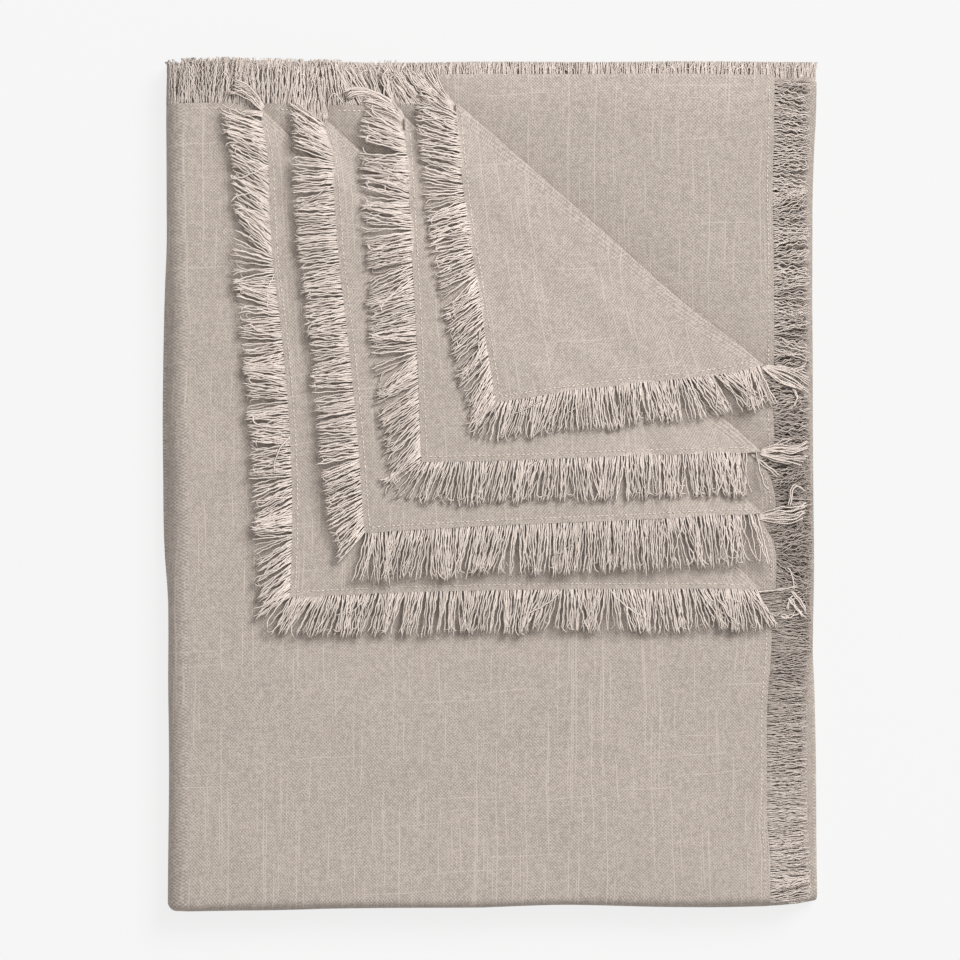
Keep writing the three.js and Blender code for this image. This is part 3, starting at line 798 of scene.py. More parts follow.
def spread(first, last, spacing, seed):
    """Distances along a hem from first to last, evenly spaced but for a little scatter."""
    rng = np.random.default_rng(seed)
    count = max(2, int((last - first) / spacing))
    return first + (last - first) * (np.arange(count) + rng.uniform(0.15, 0.85, count)) / count


def fringe(make_roots, reach, look, seed):
    """All the tiers of a run of fringe. make_roots gives the roots for a spacing and a seed."""
    tiers = []
    for i, tier in enumerate(look.tiers):
        roots = make_roots(tier[0] * MM, seed + i)
        tiers.append(strands(roots, reach * (1 - 0.05 * i), look, tier, seed + i))
    return joined(tiers)


def flap_roots(flap, which, spacing, seed):
    """Roots along one hem of a turned-back corner."""
    hem = flap.left if which == "left" else flap.lower
    line = flap.hem(which, np.linspace(0, 1, 200))
    gone = np.concatenate([[0], np.cumsum(np.linalg.norm(np.diff(line, axis=0), axis=1))])
    s = spread(hem.start, gone[-1] - 0.3 * MM, spacing, seed)
    draw = np.random.default_rng(seed + 7).uniform(size=len(s))
    s = s[draw < np.interp(s, (4 * MM, 22 * MM), (hem.thin, 1.0))]
    spot = np.stack([np.interp(s, gone, line[:, i]) for i in (0, 1)], -1)
    slope = unit(np.gradient(line, axis=0))
    along = unit(np.stack([np.interp(s, gone, slope[:, i]) for i in (0, 1)], -1))
    turn = 1 if which == "left" else -1
    out = turn * np.stack([along[:, 1], -along[:, 0]], -1)
    flat = np.zeros((len(s), 1))
    return Roots(
        np.concatenate([spot, flap.height(spot)[:, None]], -1),
        np.concatenate([out, flat], -1),
        np.concatenate([along, flat], -1),
        s,
        flap.layer,
        lean=np.interp(s / gone[-1], *hem.leans),
        ground=lambda path: flap.height(path, 2.5 * MM),
    )


# Bunches of yarns, and single ones, that are placed where the slanting folds meet the
# hems. Flap; which end of its fold; yarns; height of the roots over the table, and how much
# higher the yarns rise and how much lower they end; and in mm, the line from root to tip of the
# first yarn and of the last one, between which the others lie
TUFTS = (
    (1, "top", 11, 21.6, 2.2, 0.0,
     ((-118.5, 194.9), (-123.6, 199.6), (-129.3, 203.2), (-135.4, 203.7)),
     ((-116.9, 197.5), (-121.0, 204.2), (-126.2, 209.3), (-131.8, 211.4))),
    (1, "top", 7, 21.6, 1.6, 0.2,
     ((-117.9, 194.9), (-124.6, 195.9), (-130.8, 194.9), (-136.0, 188.7)),
     ((-117.9, 191.8), (-123.6, 192.9), (-129.8, 190.8), (-134.9, 184.1))),
    (2, "top", 8, 21.8, 1.8, -0.3,
     ((-86.0, 190.3), (-88.1, 197.5), (-89.1, 205.2), (-90.6, 212.4)),
     ((-83.9, 191.8), (-86.0, 198.0), (-86.0, 205.2), (-85.0, 212.4))),
    (2, "top", 1, 22.2, 1.5, 0.3,
     ((-84.5, 194.9), (-83.9, 203.7), (-79.8, 203.2), (-76.2, 199.0)),
     ((-84.5, 194.9), (-83.9, 203.7), (-79.8, 203.2), (-76.2, 199.0))),
    (3, "top", 11, 20.6, 2.6, 0.0,
     ((-46.4, 194.9), (-53.6, 202.1), (-62.8, 206.8), (-73.1, 207.3), (-76.7, 205.2)),
     ((-45.3, 192.3), (-51.5, 197.0), (-59.7, 202.1), (-68.0, 203.2), (-73.1, 201.1))),
    (3, "top", 10, 20.6, 2.4, 0.2,
     ((-45.3, 192.9), (-51.5, 197.0), (-58.7, 201.1), (-65.9, 202.1)),
     ((-43.3, 186.7), (-50.5, 191.8), (-57.7, 194.9), (-64.9, 195.9))),
    (3, "top", 7, 20.6, 1.8, 0.4,
     ((-42.2, 184.6), (-49.4, 189.8), (-57.7, 193.4), (-66.4, 192.9)),
     ((-42.2, 180.5), (-48.4, 184.6), (-56.6, 189.8), (-65.9, 188.7))),
    (3, "top", 2, 20.6, 1.6, 0.4,
     ((-45.3, 183.6), (-53.6, 186.2), (-61.8, 190.3), (-68.5, 193.9)),
     ((-44.3, 181.5), (-52.5, 184.6), (-60.8, 188.2), (-67.5, 189.2))),
    (4, "top", 9, 19.2, 2.4, 0.4,
     ((-19.1, 198.5), (-24.7, 205.2), (-27.8, 211.4), (-28.8, 217.1)),
     ((-20.1, 198.0), (-26.8, 204.2), (-30.9, 209.8), (-35.0, 214.5))),
    (4, "top", 9, 19.2, 2.2, 0.4,
     ((-18.0, 197.5), (-25.8, 202.6), (-31.9, 207.3), (-36.6, 209.3)),
     ((-18.0, 194.4), (-25.8, 198.0), (-31.9, 202.1), (-38.6, 202.6))),
    (4, "top", 7, 19.2, 2.0, 0.4,
     ((-18.0, 194.4), (-25.2, 194.9), (-33.0, 198.0), (-39.1, 199.6)),
     ((-17.5, 188.7), (-25.2, 190.3), (-33.0, 192.3), (-38.6, 194.4))),
    (1, "right", 2, 21.4, 1.2, 1.5,
     ((133.4, -51.8), (139.1, -52.0), (144.2, -51.5), (149.9, -50.0), (156.6, -49.5)),
     ((136.0, -52.3), (140.6, -52.3), (145.2, -52.0), (150.4, -50.5), (156.0, -50.2))),
    (1, "right", 2, 20.0, 1.6, 1.2,
     ((151.3, -61.0), (151.9, -57.4), (153.9, -54.3), (156.6, -53.3), (158.6, -55.4)),
     ((152.4, -62.1), (153.0, -58.5), (155.0, -55.9), (157.1, -55.4), (159.7, -57.4))),
    (1, "right", 3, 20.0, 1.8, 1.4,
     ((151.9, -55.4), (153.5, -57.9), (156.6, -61.0), (159.1, -65.7)),
     ((154.0, -54.9), (156.0, -57.9), (158.1, -61.0), (161.7, -64.6))),
    (1, "right", 3, 20.0, 1.4, 1.2,
     ((147.8, -62.6), (150.9, -64.1), (154.0, -63.6), (157.6, -61.0)),
     ((148.8, -65.7), (151.9, -66.7), (155.0, -65.2), (159.7, -63.1))),
    (1, "right", 2, 20.0, 1.4, 1.8,
     ((154.5, -51.3), (156.6, -54.3), (160.2, -56.9), (162.7, -60.5)),
     ((153.0, -51.3), (155.0, -54.9), (158.1, -58.5), (160.7, -62.6))),
    (2, "right", 1, 20.4, 1.2, 0.6,
     ((147.0, -37.4), (151.4, -39.4), (154.3, -42.0), (155.0, -48.7), (156.0, -51.3)),
     ((147.0, -37.4), (151.4, -39.4), (154.3, -42.0), (155.0, -48.7), (156.0, -51.3))),
    (2, "right", 10, 21.8, 2.2, 1.8,
     ((136.5, -12.6), (143.2, -9.5), (149.3, -7.5), (154.5, -8.0), (161.7, -6.5)),
     ((136.5, -14.7), (143.2, -16.2), (149.3, -17.8), (155.5, -16.8), (160.2, -13.1))),
    (2, "right", 2, 22.6, 1.0, 1.5,
     ((151.4, -8.0), (153.0, -1.8), (153.0, 1.8), (155.5, 3.9), (161.7, -0.3)),
     ((153.5, -8.0), (155.0, -3.9), (154.0, 0.2), (157.1, 2.3), (160.2, -1.8))),
    (3, "right", 6, 20.6, 2.6, 1.6,
     ((138.0, 20.8), (142.1, 23.4), (148.3, 24.5), (156.0, 22.9), (161.7, 25.5)),
     ((138.0, 19.3), (144.2, 19.8), (150.4, 19.8), (156.6, 19.3), (162.7, 21.4))),
    (3, "right", 6, 20.6, 2.0, 1.8,
     ((138.0, 19.3), (144.2, 18.3), (151.4, 18.3), (157.6, 17.2), (163.3, 19.8)),
     ((137.5, 18.8), (142.1, 16.2), (147.8, 14.7), (153.5, 13.6), (157.6, 12.6))),
    (3, "right", 2, 20.8, 2.4, 1.2,
     ((139.1, 20.8), (144.2, 22.9), (149.3, 25.5), (154.0, 27.5)),
     ((140.1, 20.8), (145.7, 21.9), (150.9, 25.0), (153.5, 27.0))),
    (3, "right", 2, 20.6, 1.4, 1.0,
     ((132.9, 18.8), (136.5, 14.7), (141.1, 10.5), (147.3, 6.4)),
     ((133.9, 18.8), (138.0, 15.2), (142.7, 11.6), (147.8, 8.0))),
    (4, "right", 8, 19.4, 2.6, 1.4,
     ((138.5, 63.6), (143.7, 57.9), (150.4, 53.8), (159.7, 51.7)),
     ((139.6, 64.1), (147.3, 61.5), (154.5, 57.9), (162.7, 51.2))),
    (4, "right", 6, 19.4, 2.6, 1.4,
     ((139.6, 64.1), (147.3, 62.0), (155.0, 59.0), (162.7, 54.3)),
     ((140.6, 64.6), (148.3, 64.1), (156.0, 63.1), (162.7, 60.0))),
    (4, "right", 3, 19.6, 1.6, 1.2,
     ((140.1, 64.1), (146.3, 62.6), (153.5, 60.5), (160.2, 63.6)),
     ((140.6, 64.6), (147.3, 63.1), (154.5, 62.0), (162.2, 66.2))),
    (4, "right", 2, 19.0, 0.6, 0.8,
     ((154.0, 52.3), (156.6, 49.2), (156.0, 45.1), (153.0, 40.4)),
     ((155.0, 52.8), (157.6, 48.7), (157.1, 45.6), (154.0, 42.0))),
    (4, "right", 4, 19.4, 1.8, 1.6,
     ((133.9, 63.1), (136.5, 55.9), (138.5, 48.7), (142.1, 42.5)),
     ((136.5, 63.1), (138.5, 55.9), (141.1, 48.7), (145.2, 42.0))),
)


def tuft(row, look, seed):
    """The yarns of one row of TUFTS."""
    count, root, rise, fall, first, last = row[2:]
    rng = np.random.default_rng(seed)
    share = (np.arange(count) + rng.uniform(0.2, 0.8, count)) / count
    share = np.where(count > 1, share, 0)[:, None, None]
    places = np.array(first) * MM * (1 - share) + np.array(last) * MM * share
    way = np.linspace(0, 1, len(first))[:, None]
    places = places + rng.normal(0, 0.6 * MM, places.shape) * way
    way = np.linspace(0, 1, look.segments + 1)
    path = np.zeros((count, len(way), 3))
    path[..., :2] = rounded(places, look.segments)
    size = rng.uniform(0.3, 1.0, (count, 1)) * 0.35 * MM * smooth(way * 4)
    phase = 2 * np.pi * (way * rng.uniform(1.5, 3.5, (count, 1)) + rng.uniform(size=(count, 1)))
    aside = unit(np.gradient(path, axis=1))[..., [1, 0]] * (size * np.sin(phase))[..., None]
    path[..., :2] += aside * (1, -1)
    lift = rise * smooth(way * 3) * rng.uniform(0.3, 1.0, (count, 1)) - fall * way**1.5
    path[..., 2] = (root + lift) * MM
    thick = look.thickness / 2 * rng.uniform(0.85, 1.15, (count, 1)) * (1 - 0.15 * way**8)
    return path, thick, look.tone * rng.uniform(0.85, 1.05, count)


def rounded(places, count):
    """Smooth lines of count steps through the neighbourhood of a few places each: the straight
    pieces between them, drawn evenly and averaged over a sliding window."""
    fine = np.linspace(0, places.shape[1] - 1, 8 * count + 1)
    low = np.minimum(fine.astype(int), places.shape[1] - 2)
    part = (fine - low)[:, None]
    line = places[:, low] * (1 - part) + places[:, low + 1] * part
    width = len(fine) // (places.shape[1] - 1) // 2
    ends = [np.repeat(line[:, i:i + 1], width, axis=1) for i in (0, len(fine) - 1)]
    padded = np.concatenate([2 * ends[0] - line[:, width:0:-1], line,
                             2 * ends[1] - line[:, -2:-width - 2:-1]], 1)
    total = np.concatenate([np.zeros_like(line[:, :1]), padded.cumsum(1)], 1)
    mean = (total[:, 2 * width + 1:] - total[:, :-2 * width - 1]) / (2 * width + 1)
    return mean[:, ::8]


# Painted shade on the right fringe at y in mm: its yarns are painted darker along its middle, where
# the fringe lies deeper and in shade
RIGHT_PAINTED_SHADE = np.array([
    (-216, 0.95), (-185, 0.9), (-135, 0.78), (-92, 0.57), (-36, 0.6), (10, 0.57), (44, 0.74),
    (82, 1.04), (225, 0.92),
]).T * [[MM], [1]]


def right_roots(path, layer, first, last, spacing, seed):
    """Roots on the right hem of a ply, from one distance along the pair's path to another. The
    yarns leave to the right and sink towards the under half as they go."""
    s = spread(first, last, spacing, seed)
    y, z, ny, nz = path.at(s)
    off = PLY_OF[layer][1] * PITCH / 2
    place = np.stack([RIGHT_HEM_X + 0 * y, y + off * ny, MID_HEIGHT + z + off * nz], -1)
    place[:, 2] += bare_swell(layer, place)
    ys, zs = ([np.interp(s + d, path.distance, line) for d in (-0.5 * MM, 0.5 * MM)]
              for line in (path.y, path.z))
    along = unit(np.stack([0 * s, ys[1] - ys[0], zs[1] - zs[0]], -1))
    out = np.broadcast_to((1.0, 0.0, 0.0), place.shape)
    droop = 0.5 * np.maximum(place[:, 2] - MID_HEIGHT - 0.6 * MM, 0)
    # tone here is the painted shade along the right fringe
    return Roots(place, out, along, s, layer, droop=droop, tone=np.interp(y, *RIGHT_PAINTED_SHADE))


def pass_range(path, name, high=1.0):
    """First and last distance of a pass of the pair, cut to y up to high."""
    found = path.distance[(path.name == name) & (path.y <= high)]
    return found.min(), found.max()


# How far the fringe of the top hems leans to the left, at x in mm along the upper half
TOP_LEANS = np.array([
    (-170, 0.0), (-90, 0.0), (-83, 0.12), (-76, 0.3), (-68, 0.5), (-56, 0.45), (-50, 0.05),
    (-44, 0.55), (-36, 0.8),
]).T * [[MM], [1]]


def top_roots(zones, layer, spacing, seed):
    """Roots on a top hem, along the upper and lower zones of the ply that is a layer of the
    upper half, with the round of the thick left fold: the yarns leave along the pile."""
    level = layer_height(layer) - MID_HEIGHT
    upper = FLAPS[layer - 1].top[0] - LEFT_TURN_X
    lower = RIGHT_TURN_X - LEFT_TURN_X
    turn = np.pi * level
    first = 0.0 if "upper" in zones else upper + turn
    last = upper + turn + lower - 0.4 * MM if "lower" in zones else upper
    s = spread(first, last, spacing, seed)
    angle = np.clip((s - upper) / level, 0, np.pi)
    before, after = np.maximum(0, upper - s), np.maximum(0, s - upper - turn)
    x = LEFT_TURN_X - level * np.sin(angle) + before + after
    z = MID_HEIGHT + level * np.cos(angle)
    place = np.stack([x, TOP_HEM_Y - UNDER_HALF_SLIP * angle / np.pi, z], -1)
    own = np.where(before > 0, layer, 0)
    place[:, 2] += bare_swell(own, place)
    along = np.stack([-np.cos(angle), 0 * s, -np.sin(angle)], -1)
    out = np.broadcast_to((0.0, 1.0, 0.0), place.shape)
    onto = np.where(angle > np.pi / 2, 0.5 * MM, MID_HEIGHT + 4 * PITCH)
    lean = np.where(own > 0, np.interp(x, *TOP_LEANS), 0)
    return Roots(place, out, along, s, own, lean=lean, droop=0.5 * np.maximum(z - onto, 0))


# The stitches

def stitches(line, pitch, seed):
    """Short threads laid one after another along a line, each a little under a pitch long, a
    little uneven in place, and arched: paths, radii and tones."""
    rng = np.random.default_rng(seed)
    gone = np.concatenate([[0], np.cumsum(np.linalg.norm(np.diff(line, axis=0), axis=1))])
    middles = np.arange(pitch / 2, gone[-1], pitch)
    middles = middles + rng.normal(0, 0.06 * pitch, len(middles))
    way = np.linspace(-1, 1, 5)
    s = middles[:, None] + 0.31 * pitch * way
    path = np.stack([np.interp(s, gone, line[:, i]) for i in range(3)], -1)
    path[..., 2] += 0.1 * MM * (1 - way**2)
    radii = 0.36 * MM * np.sqrt(1 - 0.6 * way**2) * np.ones((len(middles), 1))
    return settled(path), radii, rng.uniform(1.1, 1.5, len(middles))


# Materials

class Socket:
    """A shader value. Its arithmetic adds Math nodes."""

    def __init__(self, nodes, socket):
        self.nodes, self.socket = nodes, socket

    def _math(self, operation, *values):
        return self.nodes.make("ShaderNodeMath", {"operation": operation}, values)

    def __add__(self, other):
        return self._math("ADD", self, other)

    def __sub__(self, other):
        return self._math("SUBTRACT", self, other)

    def __rsub__(self, other):
        return self._math("SUBTRACT", other, self)

    def __mul__(self, other):
        return self._math("MULTIPLY", self, other)

    def __truediv__(self, other):
        return self._math("DIVIDE", self, other)

    def __gt__(self, other):
        return self._math("GREATER_THAN", self, other)

    __radd__, __rmul__ = __add__, __mul__

    def floor(self):
        """The whole number below."""
        return self._math("FLOOR", self)

    def fract(self):
        """What is left over the whole number below."""
        return self._math("FRACT", self)

    def sine(self):
        """The sine, of an angle in radians."""
        return self._math("SINE", self)

    def power(self, exponent):
        """The value raised to a power."""
        return self._math("POWER", self, exponent)


class Nodes:
    """The node tree of one material."""

    def __init__(self, name):
        old = bpy.data.materials.get(name)
        if old:
            bpy.data.materials.remove(old)
        self.material = bpy.data.materials.new(name)
        self.material.use_nodes = True
        self.tree = self.material.node_tree
        self.tree.nodes.clear()

    def make(self, kind, settings=None, values=(), output=0):
        """Adds a node: its settings first, then the values or links of its sockets, given in
        order or by name. Returns the output asked for."""
        node = self.tree.nodes.new(kind)
        for name, value in (settings or {}).items():
            setattr(node, name, value)
        pairs = values.items() if isinstance(values, dict) else enumerate(values)
        for key, value in pairs:
            if isinstance(value, Socket):
                self.tree.links.new(value.socket, node.inputs[key])
            else:
                node.inputs[key].default_value = value
        return Socket(self, node.outputs[output]) if node.outputs else node

    def noise(self, vector, scale, detail):
        """Fractal noise, from 0 to 1."""
        values = {"Vector": vector, "Scale": scale, "Detail": detail, "Roughness": 0.5}
        return self.make("ShaderNodeTexNoise", {}, values)

    def random(self, vector):
        """A random number from 0 to 1 for each vector."""
        settings = {"noise_dimensions": "3D"}
        return self.make("ShaderNodeTexWhiteNoise", settings, {"Vector": vector})

    def vector(self, x, y, z=0.0):
        """A vector of three values."""
        return self.make("ShaderNodeCombineXYZ", {}, (x, y, z))

    def mix(self, factor, first, second):
        """A colour between two."""
        settings = {"data_type": "RGBA"}
        return self.make("ShaderNodeMix", settings, {0: factor, 6: first, 7: second}, 2)

    def finish(self, color, roughness, height=None, strength=0.3, distance=0.0005, **constants):
        """The surface shader, with a bump from height, and the material's output."""
        inputs = {"Base Color": color, "Roughness": roughness, **constants}
        if height is not None:
            bump = {"Strength": strength, "Distance": distance, "Height": height}
            inputs["Normal"] = self.make("ShaderNodeBump", {}, bump)
        shader = self.make("ShaderNodeBsdfPrincipled", {}, inputs)
        self.make("ShaderNodeOutputMaterial", {}, {"Surface": shader})
        return self.material


def slubs(nodes, across, along, width, length, share, seed):
    """Thick places in the yarns: the yarns are strips of a width, each cut at random into
    lengths, and a share of the lengths show, brightest in the middle and fading to the ends."""
    strip = across / width
    index = strip.floor()
    start = nodes.random(nodes.vector(index, seed))
    place = along / length + start * 7.0
    pick = nodes.random(nodes.vector(index, place.floor(), seed + 0.5))
    end, side = place.fract(), strip.fract()
    swell = (end * (1.0 - end) * 4.0).power(0.8) * (side * (1.0 - side) * 4.0)
    return swell * (pick > 1.0 - share)


def threads(nodes, across, along, width, length, seed):
    """The tone of each thread, from -0.5 to 0.5: it changes at random from one length to the
    next, at other places in each thread."""
    index = (across / width).floor()
    place = along / length + nodes.random(nodes.vector(index, seed)) * 7.0
    return nodes.random(nodes.vector(index, place.floor(), seed + 0.5)) - 0.5


def slub_cotton(settings):
    """Woven slub cotton, by the place on the flat cloth: threads over and under each other, a
    faint diagonal grain in patches, the threads' own light and dark, light thick places in both
    directions, and a slow unevenness of tone."""
    nodes = Nodes("slub_cotton")
    flat = nodes.make("ShaderNodeUVMap", {"uv_map": "weave"})
    across, along = (nodes.make("ShaderNodeSeparateXYZ", {}, (flat,), i) for i in (0, 1))
    turned = nodes.make("ShaderNodeAttribute", {"attribute_name": "turned"}, (), 2)
    u, v = across + (along - across) * turned, along + (across - along) * turned
    wander = nodes.noise(flat, 14.0, 2.0) - 0.5
    u2, v2 = u + wander * 0.006, v + wander * 0.009 - u * 0.055
    pitch = settings.grain_spacing
    turns = [place / pitch for place in (u2, v2)]
    round_u, round_v = (t.fract() * (1.0 - t.fract()) * 4.0 for t in turns)
    over = ((turns[0].floor() + turns[1].floor()) * 0.5).fract() * 2.0
    crossing = (round_u * over + round_v * (1.0 - over)).power(0.6)
    short_warp = threads(nodes, u2, v, pitch, 0.0022, 4.5)
    short_weft = threads(nodes, v2, u, pitch, 0.0022, 5.5)
    knot = short_warp * over + short_weft * (1.0 - over)
    patch = nodes.noise(flat, 200.0, 2.0)
    slant = 2 * np.pi / (2.9 * pitch)
    twill = ((u2 + v) * slant).sine() * patch + ((u2 - v2) * slant).sine() * (1.0 - patch) * 0.8
    warp = threads(nodes, u2, v, pitch, 0.009, 1.5)
    weft = threads(nodes, v2, u, pitch, 0.007, 2.5)
    slow = nodes.noise(flat, 16.0, 3.0) - 0.5
    light = slubs(nodes, u2, v, 0.0008, 0.10, 0.032, 1.0)
    light = light + slubs(nodes, u2, v, 0.0007, 0.03, 0.045, 2.0)
    light = light + 0.8 * slubs(nodes, v2, u, 0.0008, 0.045, 0.014, 3.0)
    grain = knot * 1.05 + crossing * 0.35 + twill * 0.75 + warp * 0.2 + weft * 0.08 - 0.25
    tone = grain * settings.grain_strength + slow * 0.35
    tone = tone + light * (0.85 * settings.slub_strength) + 0.44
    dark, pale = (tuple(c) for c in (settings.cloth_dark, settings.cloth_pale))
    color = nodes.mix(tone, (*dark, 1), (*pale, 1))
    height = crossing + knot * 0.4 + light
    return nodes.finish(color, 0.92, height, 0.3, 0.0003)


def frayed_yarn(settings):
    """Loose cotton yarn: each yarn has its own tone, with painted shade that makes it light on top
    and darker at its sides, and a fine fibre noise."""
    nodes = Nodes("frayed_yarn")
    # The shade attribute is each yarn's own tone times painted shade: darker sides, darker lower
    # tiers, and darker parts of the right and top fringes
    own = nodes.make("ShaderNodeAttribute", {"attribute_name": "shade"}, (), 2)
    place = nodes.make("ShaderNodeTexCoord", {}, (), 3)
    fibre = nodes.noise(place, 1500.0, 3.0) - 0.5
    tone = own * (1.0 + fibre * 0.9)
    dark, pale = (tuple(c) for c in (settings.yarn_dark, settings.yarn_pale))
    color = nodes.mix(tone, (*dark, 1), (*pale, 1))
    return nodes.finish(color, 0.95, fibre, 0.6, 0.0003)


def pale_floor():
    """The plain pale surface that the cloth lies on, which gives back a little light."""
    nodes = Nodes("pale_floor")
    glow = {"Emission Color": (1, 1, 1, 1), "Emission Strength": 0.80}
    return nodes.finish((0.1, 0.1, 0.1, 1), 0.9, **glow)


# The camera and the lights

def view_from(context, centre):
    """The camera looks straight down from far off. One picture width is 494.4 mm in the pile."""
    top, distance, picture = 0.016, 4.0, 0.4944
    data = bpy.data.cameras.new("camera")
    data.sensor_width = 36.0
    data.lens = data.sensor_width * distance / picture
    camera = bpy.data.objects.new("camera", data)
    camera.location = (centre.x, centre.y, top + distance)
    context.scene.collection.objects.link(camera)
    context.scene.camera = camera


def area_light(name, place, size, power):
    """A square light that faces the middle of the pile."""
    data = bpy.data.lights.new(name, "AREA")
    data.size, data.energy = size, power
    light = bpy.data.objects.new(name, data)
    light.location = place
    light.rotation_euler = Vector(place).to_track_quat("Z", "Y").to_euler()
    bpy.context.scene.collection.objects.link(light)


# The add-on

class TableclothSettings(bpy.types.PropertyGroup):
    """Sizes and colours of the folded tablecloth."""

    cloth_thickness: bpy.props.FloatProperty(
        name="Cloth thickness", description="Thickness of the woven cloth",
        default=0.7 * MM, min=0.3 * MM, max=1.2 * MM, unit="LENGTH", precision=5)
    grid_spacing: bpy.props.FloatProperty(
        name="Grid spacing", description="Distance between the points of the cloth's surface",
        default=9 * MM, min=4 * MM, max=40 * MM, unit="LENGTH", precision=4)
    grain_spacing: bpy.props.FloatProperty(
        name="Thread spacing", description="Distance between the threads of the cloth",
        default=0.6 * MM, min=0.2 * MM, max=2 * MM, unit="LENGTH", precision=5)
    grain_strength: bpy.props.FloatProperty(
        name="Grain strength", description="How much light and dark there is from thread to thread",
        default=1.0, min=0.0, max=2.0, subtype="FACTOR")
    slub_strength: bpy.props.FloatProperty(
        name="Slub strength", description="How bright the thick places in the threads are",
        default=1.0, min=0.0, max=2.0, subtype="FACTOR")
    yarn_thickness: bpy.props.FloatProperty(
        name="Yarn thickness", description="Thickness of a loose yarn of the fringe",
        default=1.0 * MM, min=0.3 * MM, max=2 * MM, unit="LENGTH", precision=5)
    right_fringe_length: bpy.props.FloatProperty(
        name="Right fringe", description="Length of the fringe on the right hems of the pile",
        default=20 * MM, min=5 * MM, max=60 * MM, unit="LENGTH", precision=4)
    top_fringe_length: bpy.props.FloatProperty(
        name="Top fringe", description="Length of the fringe on the top hems of the pile",
        default=24 * MM, min=5 * MM, max=60 * MM, unit="LENGTH", precision=4)
    stitch_inset: bpy.props.FloatProperty(
        name="Stitch inset", description="Distance of the row of stitches from the hem",
        default=2.8 * MM, min=1 * MM, max=12 * MM, unit="LENGTH", precision=4)
    stitch_pitch: bpy.props.FloatProperty(
        name="Stitch pitch", description="Distance between the stitches beside the hem",
        default=2.5 * MM, min=1 * MM, max=8 * MM, unit="LENGTH", precision=4)
    cloth_dark: bpy.props.FloatVectorProperty(
        name="Cloth, dark", description="Darkest tone of the cloth",
        default=(0.365, 0.314, 0.275), min=0, max=1, size=3, subtype="COLOR")
    cloth_pale: bpy.props.FloatVectorProperty(
        name="Cloth, pale", description="Lightest tone of the cloth",
        default=(0.60, 0.521, 0.461), min=0, max=1, size=3, subtype="COLOR")
    yarn_dark: bpy.props.FloatVectorProperty(
        name="Yarn, dark", description="Darkest tone of the fringe",
        default=(0.12, 0.092, 0.074), min=0, max=1, size=3, subtype="COLOR")
    yarn_pale: bpy.props.FloatVectorProperty(
        name="Yarn, pale", description="Lightest tone of the fringe",
        default=(0.95, 0.84, 0.765), min=0, max=1, size=3, subtype="COLOR")


class TABLECLOTH_OT_cloth(bpy.types.Operator):
    """Make the folded cloth with its turned-back corners"""

    bl_idname = "tablecloth.cloth"
    bl_label = "Folded cloth"

    def execute(self, context):
        settings = context.scene.tablecloth
        size = settings.cloth_thickness, settings.grid_spacing
        points, faces, flat, turned = cloth_shell(*size)
        maps, values = [("weave", flat)], [("turned", turned)]
        cloth = mesh_object("folded_cloth", points, faces, maps, values)
        cloth.data.set_sharp_from_angle(angle=np.radians(50))
        cloth.data.materials.append(slub_cotton(settings))
        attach(cloth, "root")
        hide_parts("tablecloth")
        return {"FINISHED"}


class TABLECLOTH_OT_corner_fringes(bpy.types.Operator):
    """Make the fringes of the turned-back corners, with the bunches at the ends of their folds"""

    bl_idname = "tablecloth.corner_fringes"
    bl_label = "Fringes of the corners"

    def execute(self, context):
        settings = context.scene.tablecloth
        frayed_yarn(settings)
        bunched = Yarns(settings)
        for flap in FLAPS:
            for which, hem, end in (("left", flap.left, "top"), ("lower", flap.lower, "right")):
                # Painted light and shade: the left hems' fringes are made lighter, and the lower
                # hems' a little darker
                look = Yarns(settings, hem.unrest, tone=1.06 if which == "left" else 0.97)
                seed = 1000 * flap.layer + (500 if which == "lower" else 0)
                parts = [fringe(partial(flap_roots, flap, which), hem.fringe, look, seed)]
                rows = [row for row in TUFTS if row[:2] == (flap.layer, end)]
                parts += [tuft(row, bunched, seed + 50 + 10 * i) for i, row in enumerate(rows)]
                name = f"fringe_corner_{flap.layer}_{which}"
                yarn_object(f"yarns_{name}", *joined(parts), node=name)
        return {"FINISHED"}


class TABLECLOTH_OT_right_fringes(bpy.types.Operator):
    """Make the fringes of the right hems of the eight upper layers"""

    bl_idname = "tablecloth.right_fringes"
    bl_label = "Fringes on the right"

    def execute(self, context):
        settings = context.scene.tablecloth
        path = PairPath(settings.grid_spacing)
        messy = {"unrest": 1.5, "wave": 0.55, "wave_length": 6 * MM, "loft": 1.2 * MM}
        even = {"unrest": 0.6, "wave": 0.3, "wave_length": 7 * MM, "loft": 0.8 * MM,
                "reach": 1.15, "ragged": 0.6}
        thin = {"thickness": 0.72 * settings.yarn_thickness, "cap": 0.97}
        # The lower tiers' tones under 1, and the 0.6 of the hidden layers' yarns under the pile,
        # are painted shade
        tiers = ((1.05, 0.5, 1.0), (1.3, 0.1, 0.72))
        close = ((0.85, 0.4, 1.0), (0.95, 0.1, 0.8))
        seen = Yarns(settings, tiers=tiers, segments=18, **messy, **thin)
        combed = Yarns(settings, tiers=close, segments=14, **even, **{**thin, "cap": 1.03})
        hidden = Yarns(settings, tiers=((2.0, 0.2, 0.6),), segments=6, cap=0.9, **messy)
        highs = [*[flap.right[1] for flap in FLAPS], *[1.0] * 4]
        looks = [combed, *[seen] * 4, *[hidden] * 3]
        inner = []
        for layer, (high, look) in enumerate(zip(highs, looks), 1):
            name = PLY_OF[layer][0]
            first, last = pass_range(path, name, high)
            if name == "first":
                last = pass_range(path, "outer")[0]
            make_roots = partial(right_roots, path, layer, first, last)
            made = fringe(make_roots, settings.right_fringe_length, look, 10000 + 100 * layer)
            if layer in (6, 7):
                inner.append(made)
            else:
                yarn_object(f"yarns_fringe_right_{layer}", *made, node=f"fringe_right_{layer}")
        yarn_object("yarns_fringe_right_inner", *joined(inner))
        return {"FINISHED"}


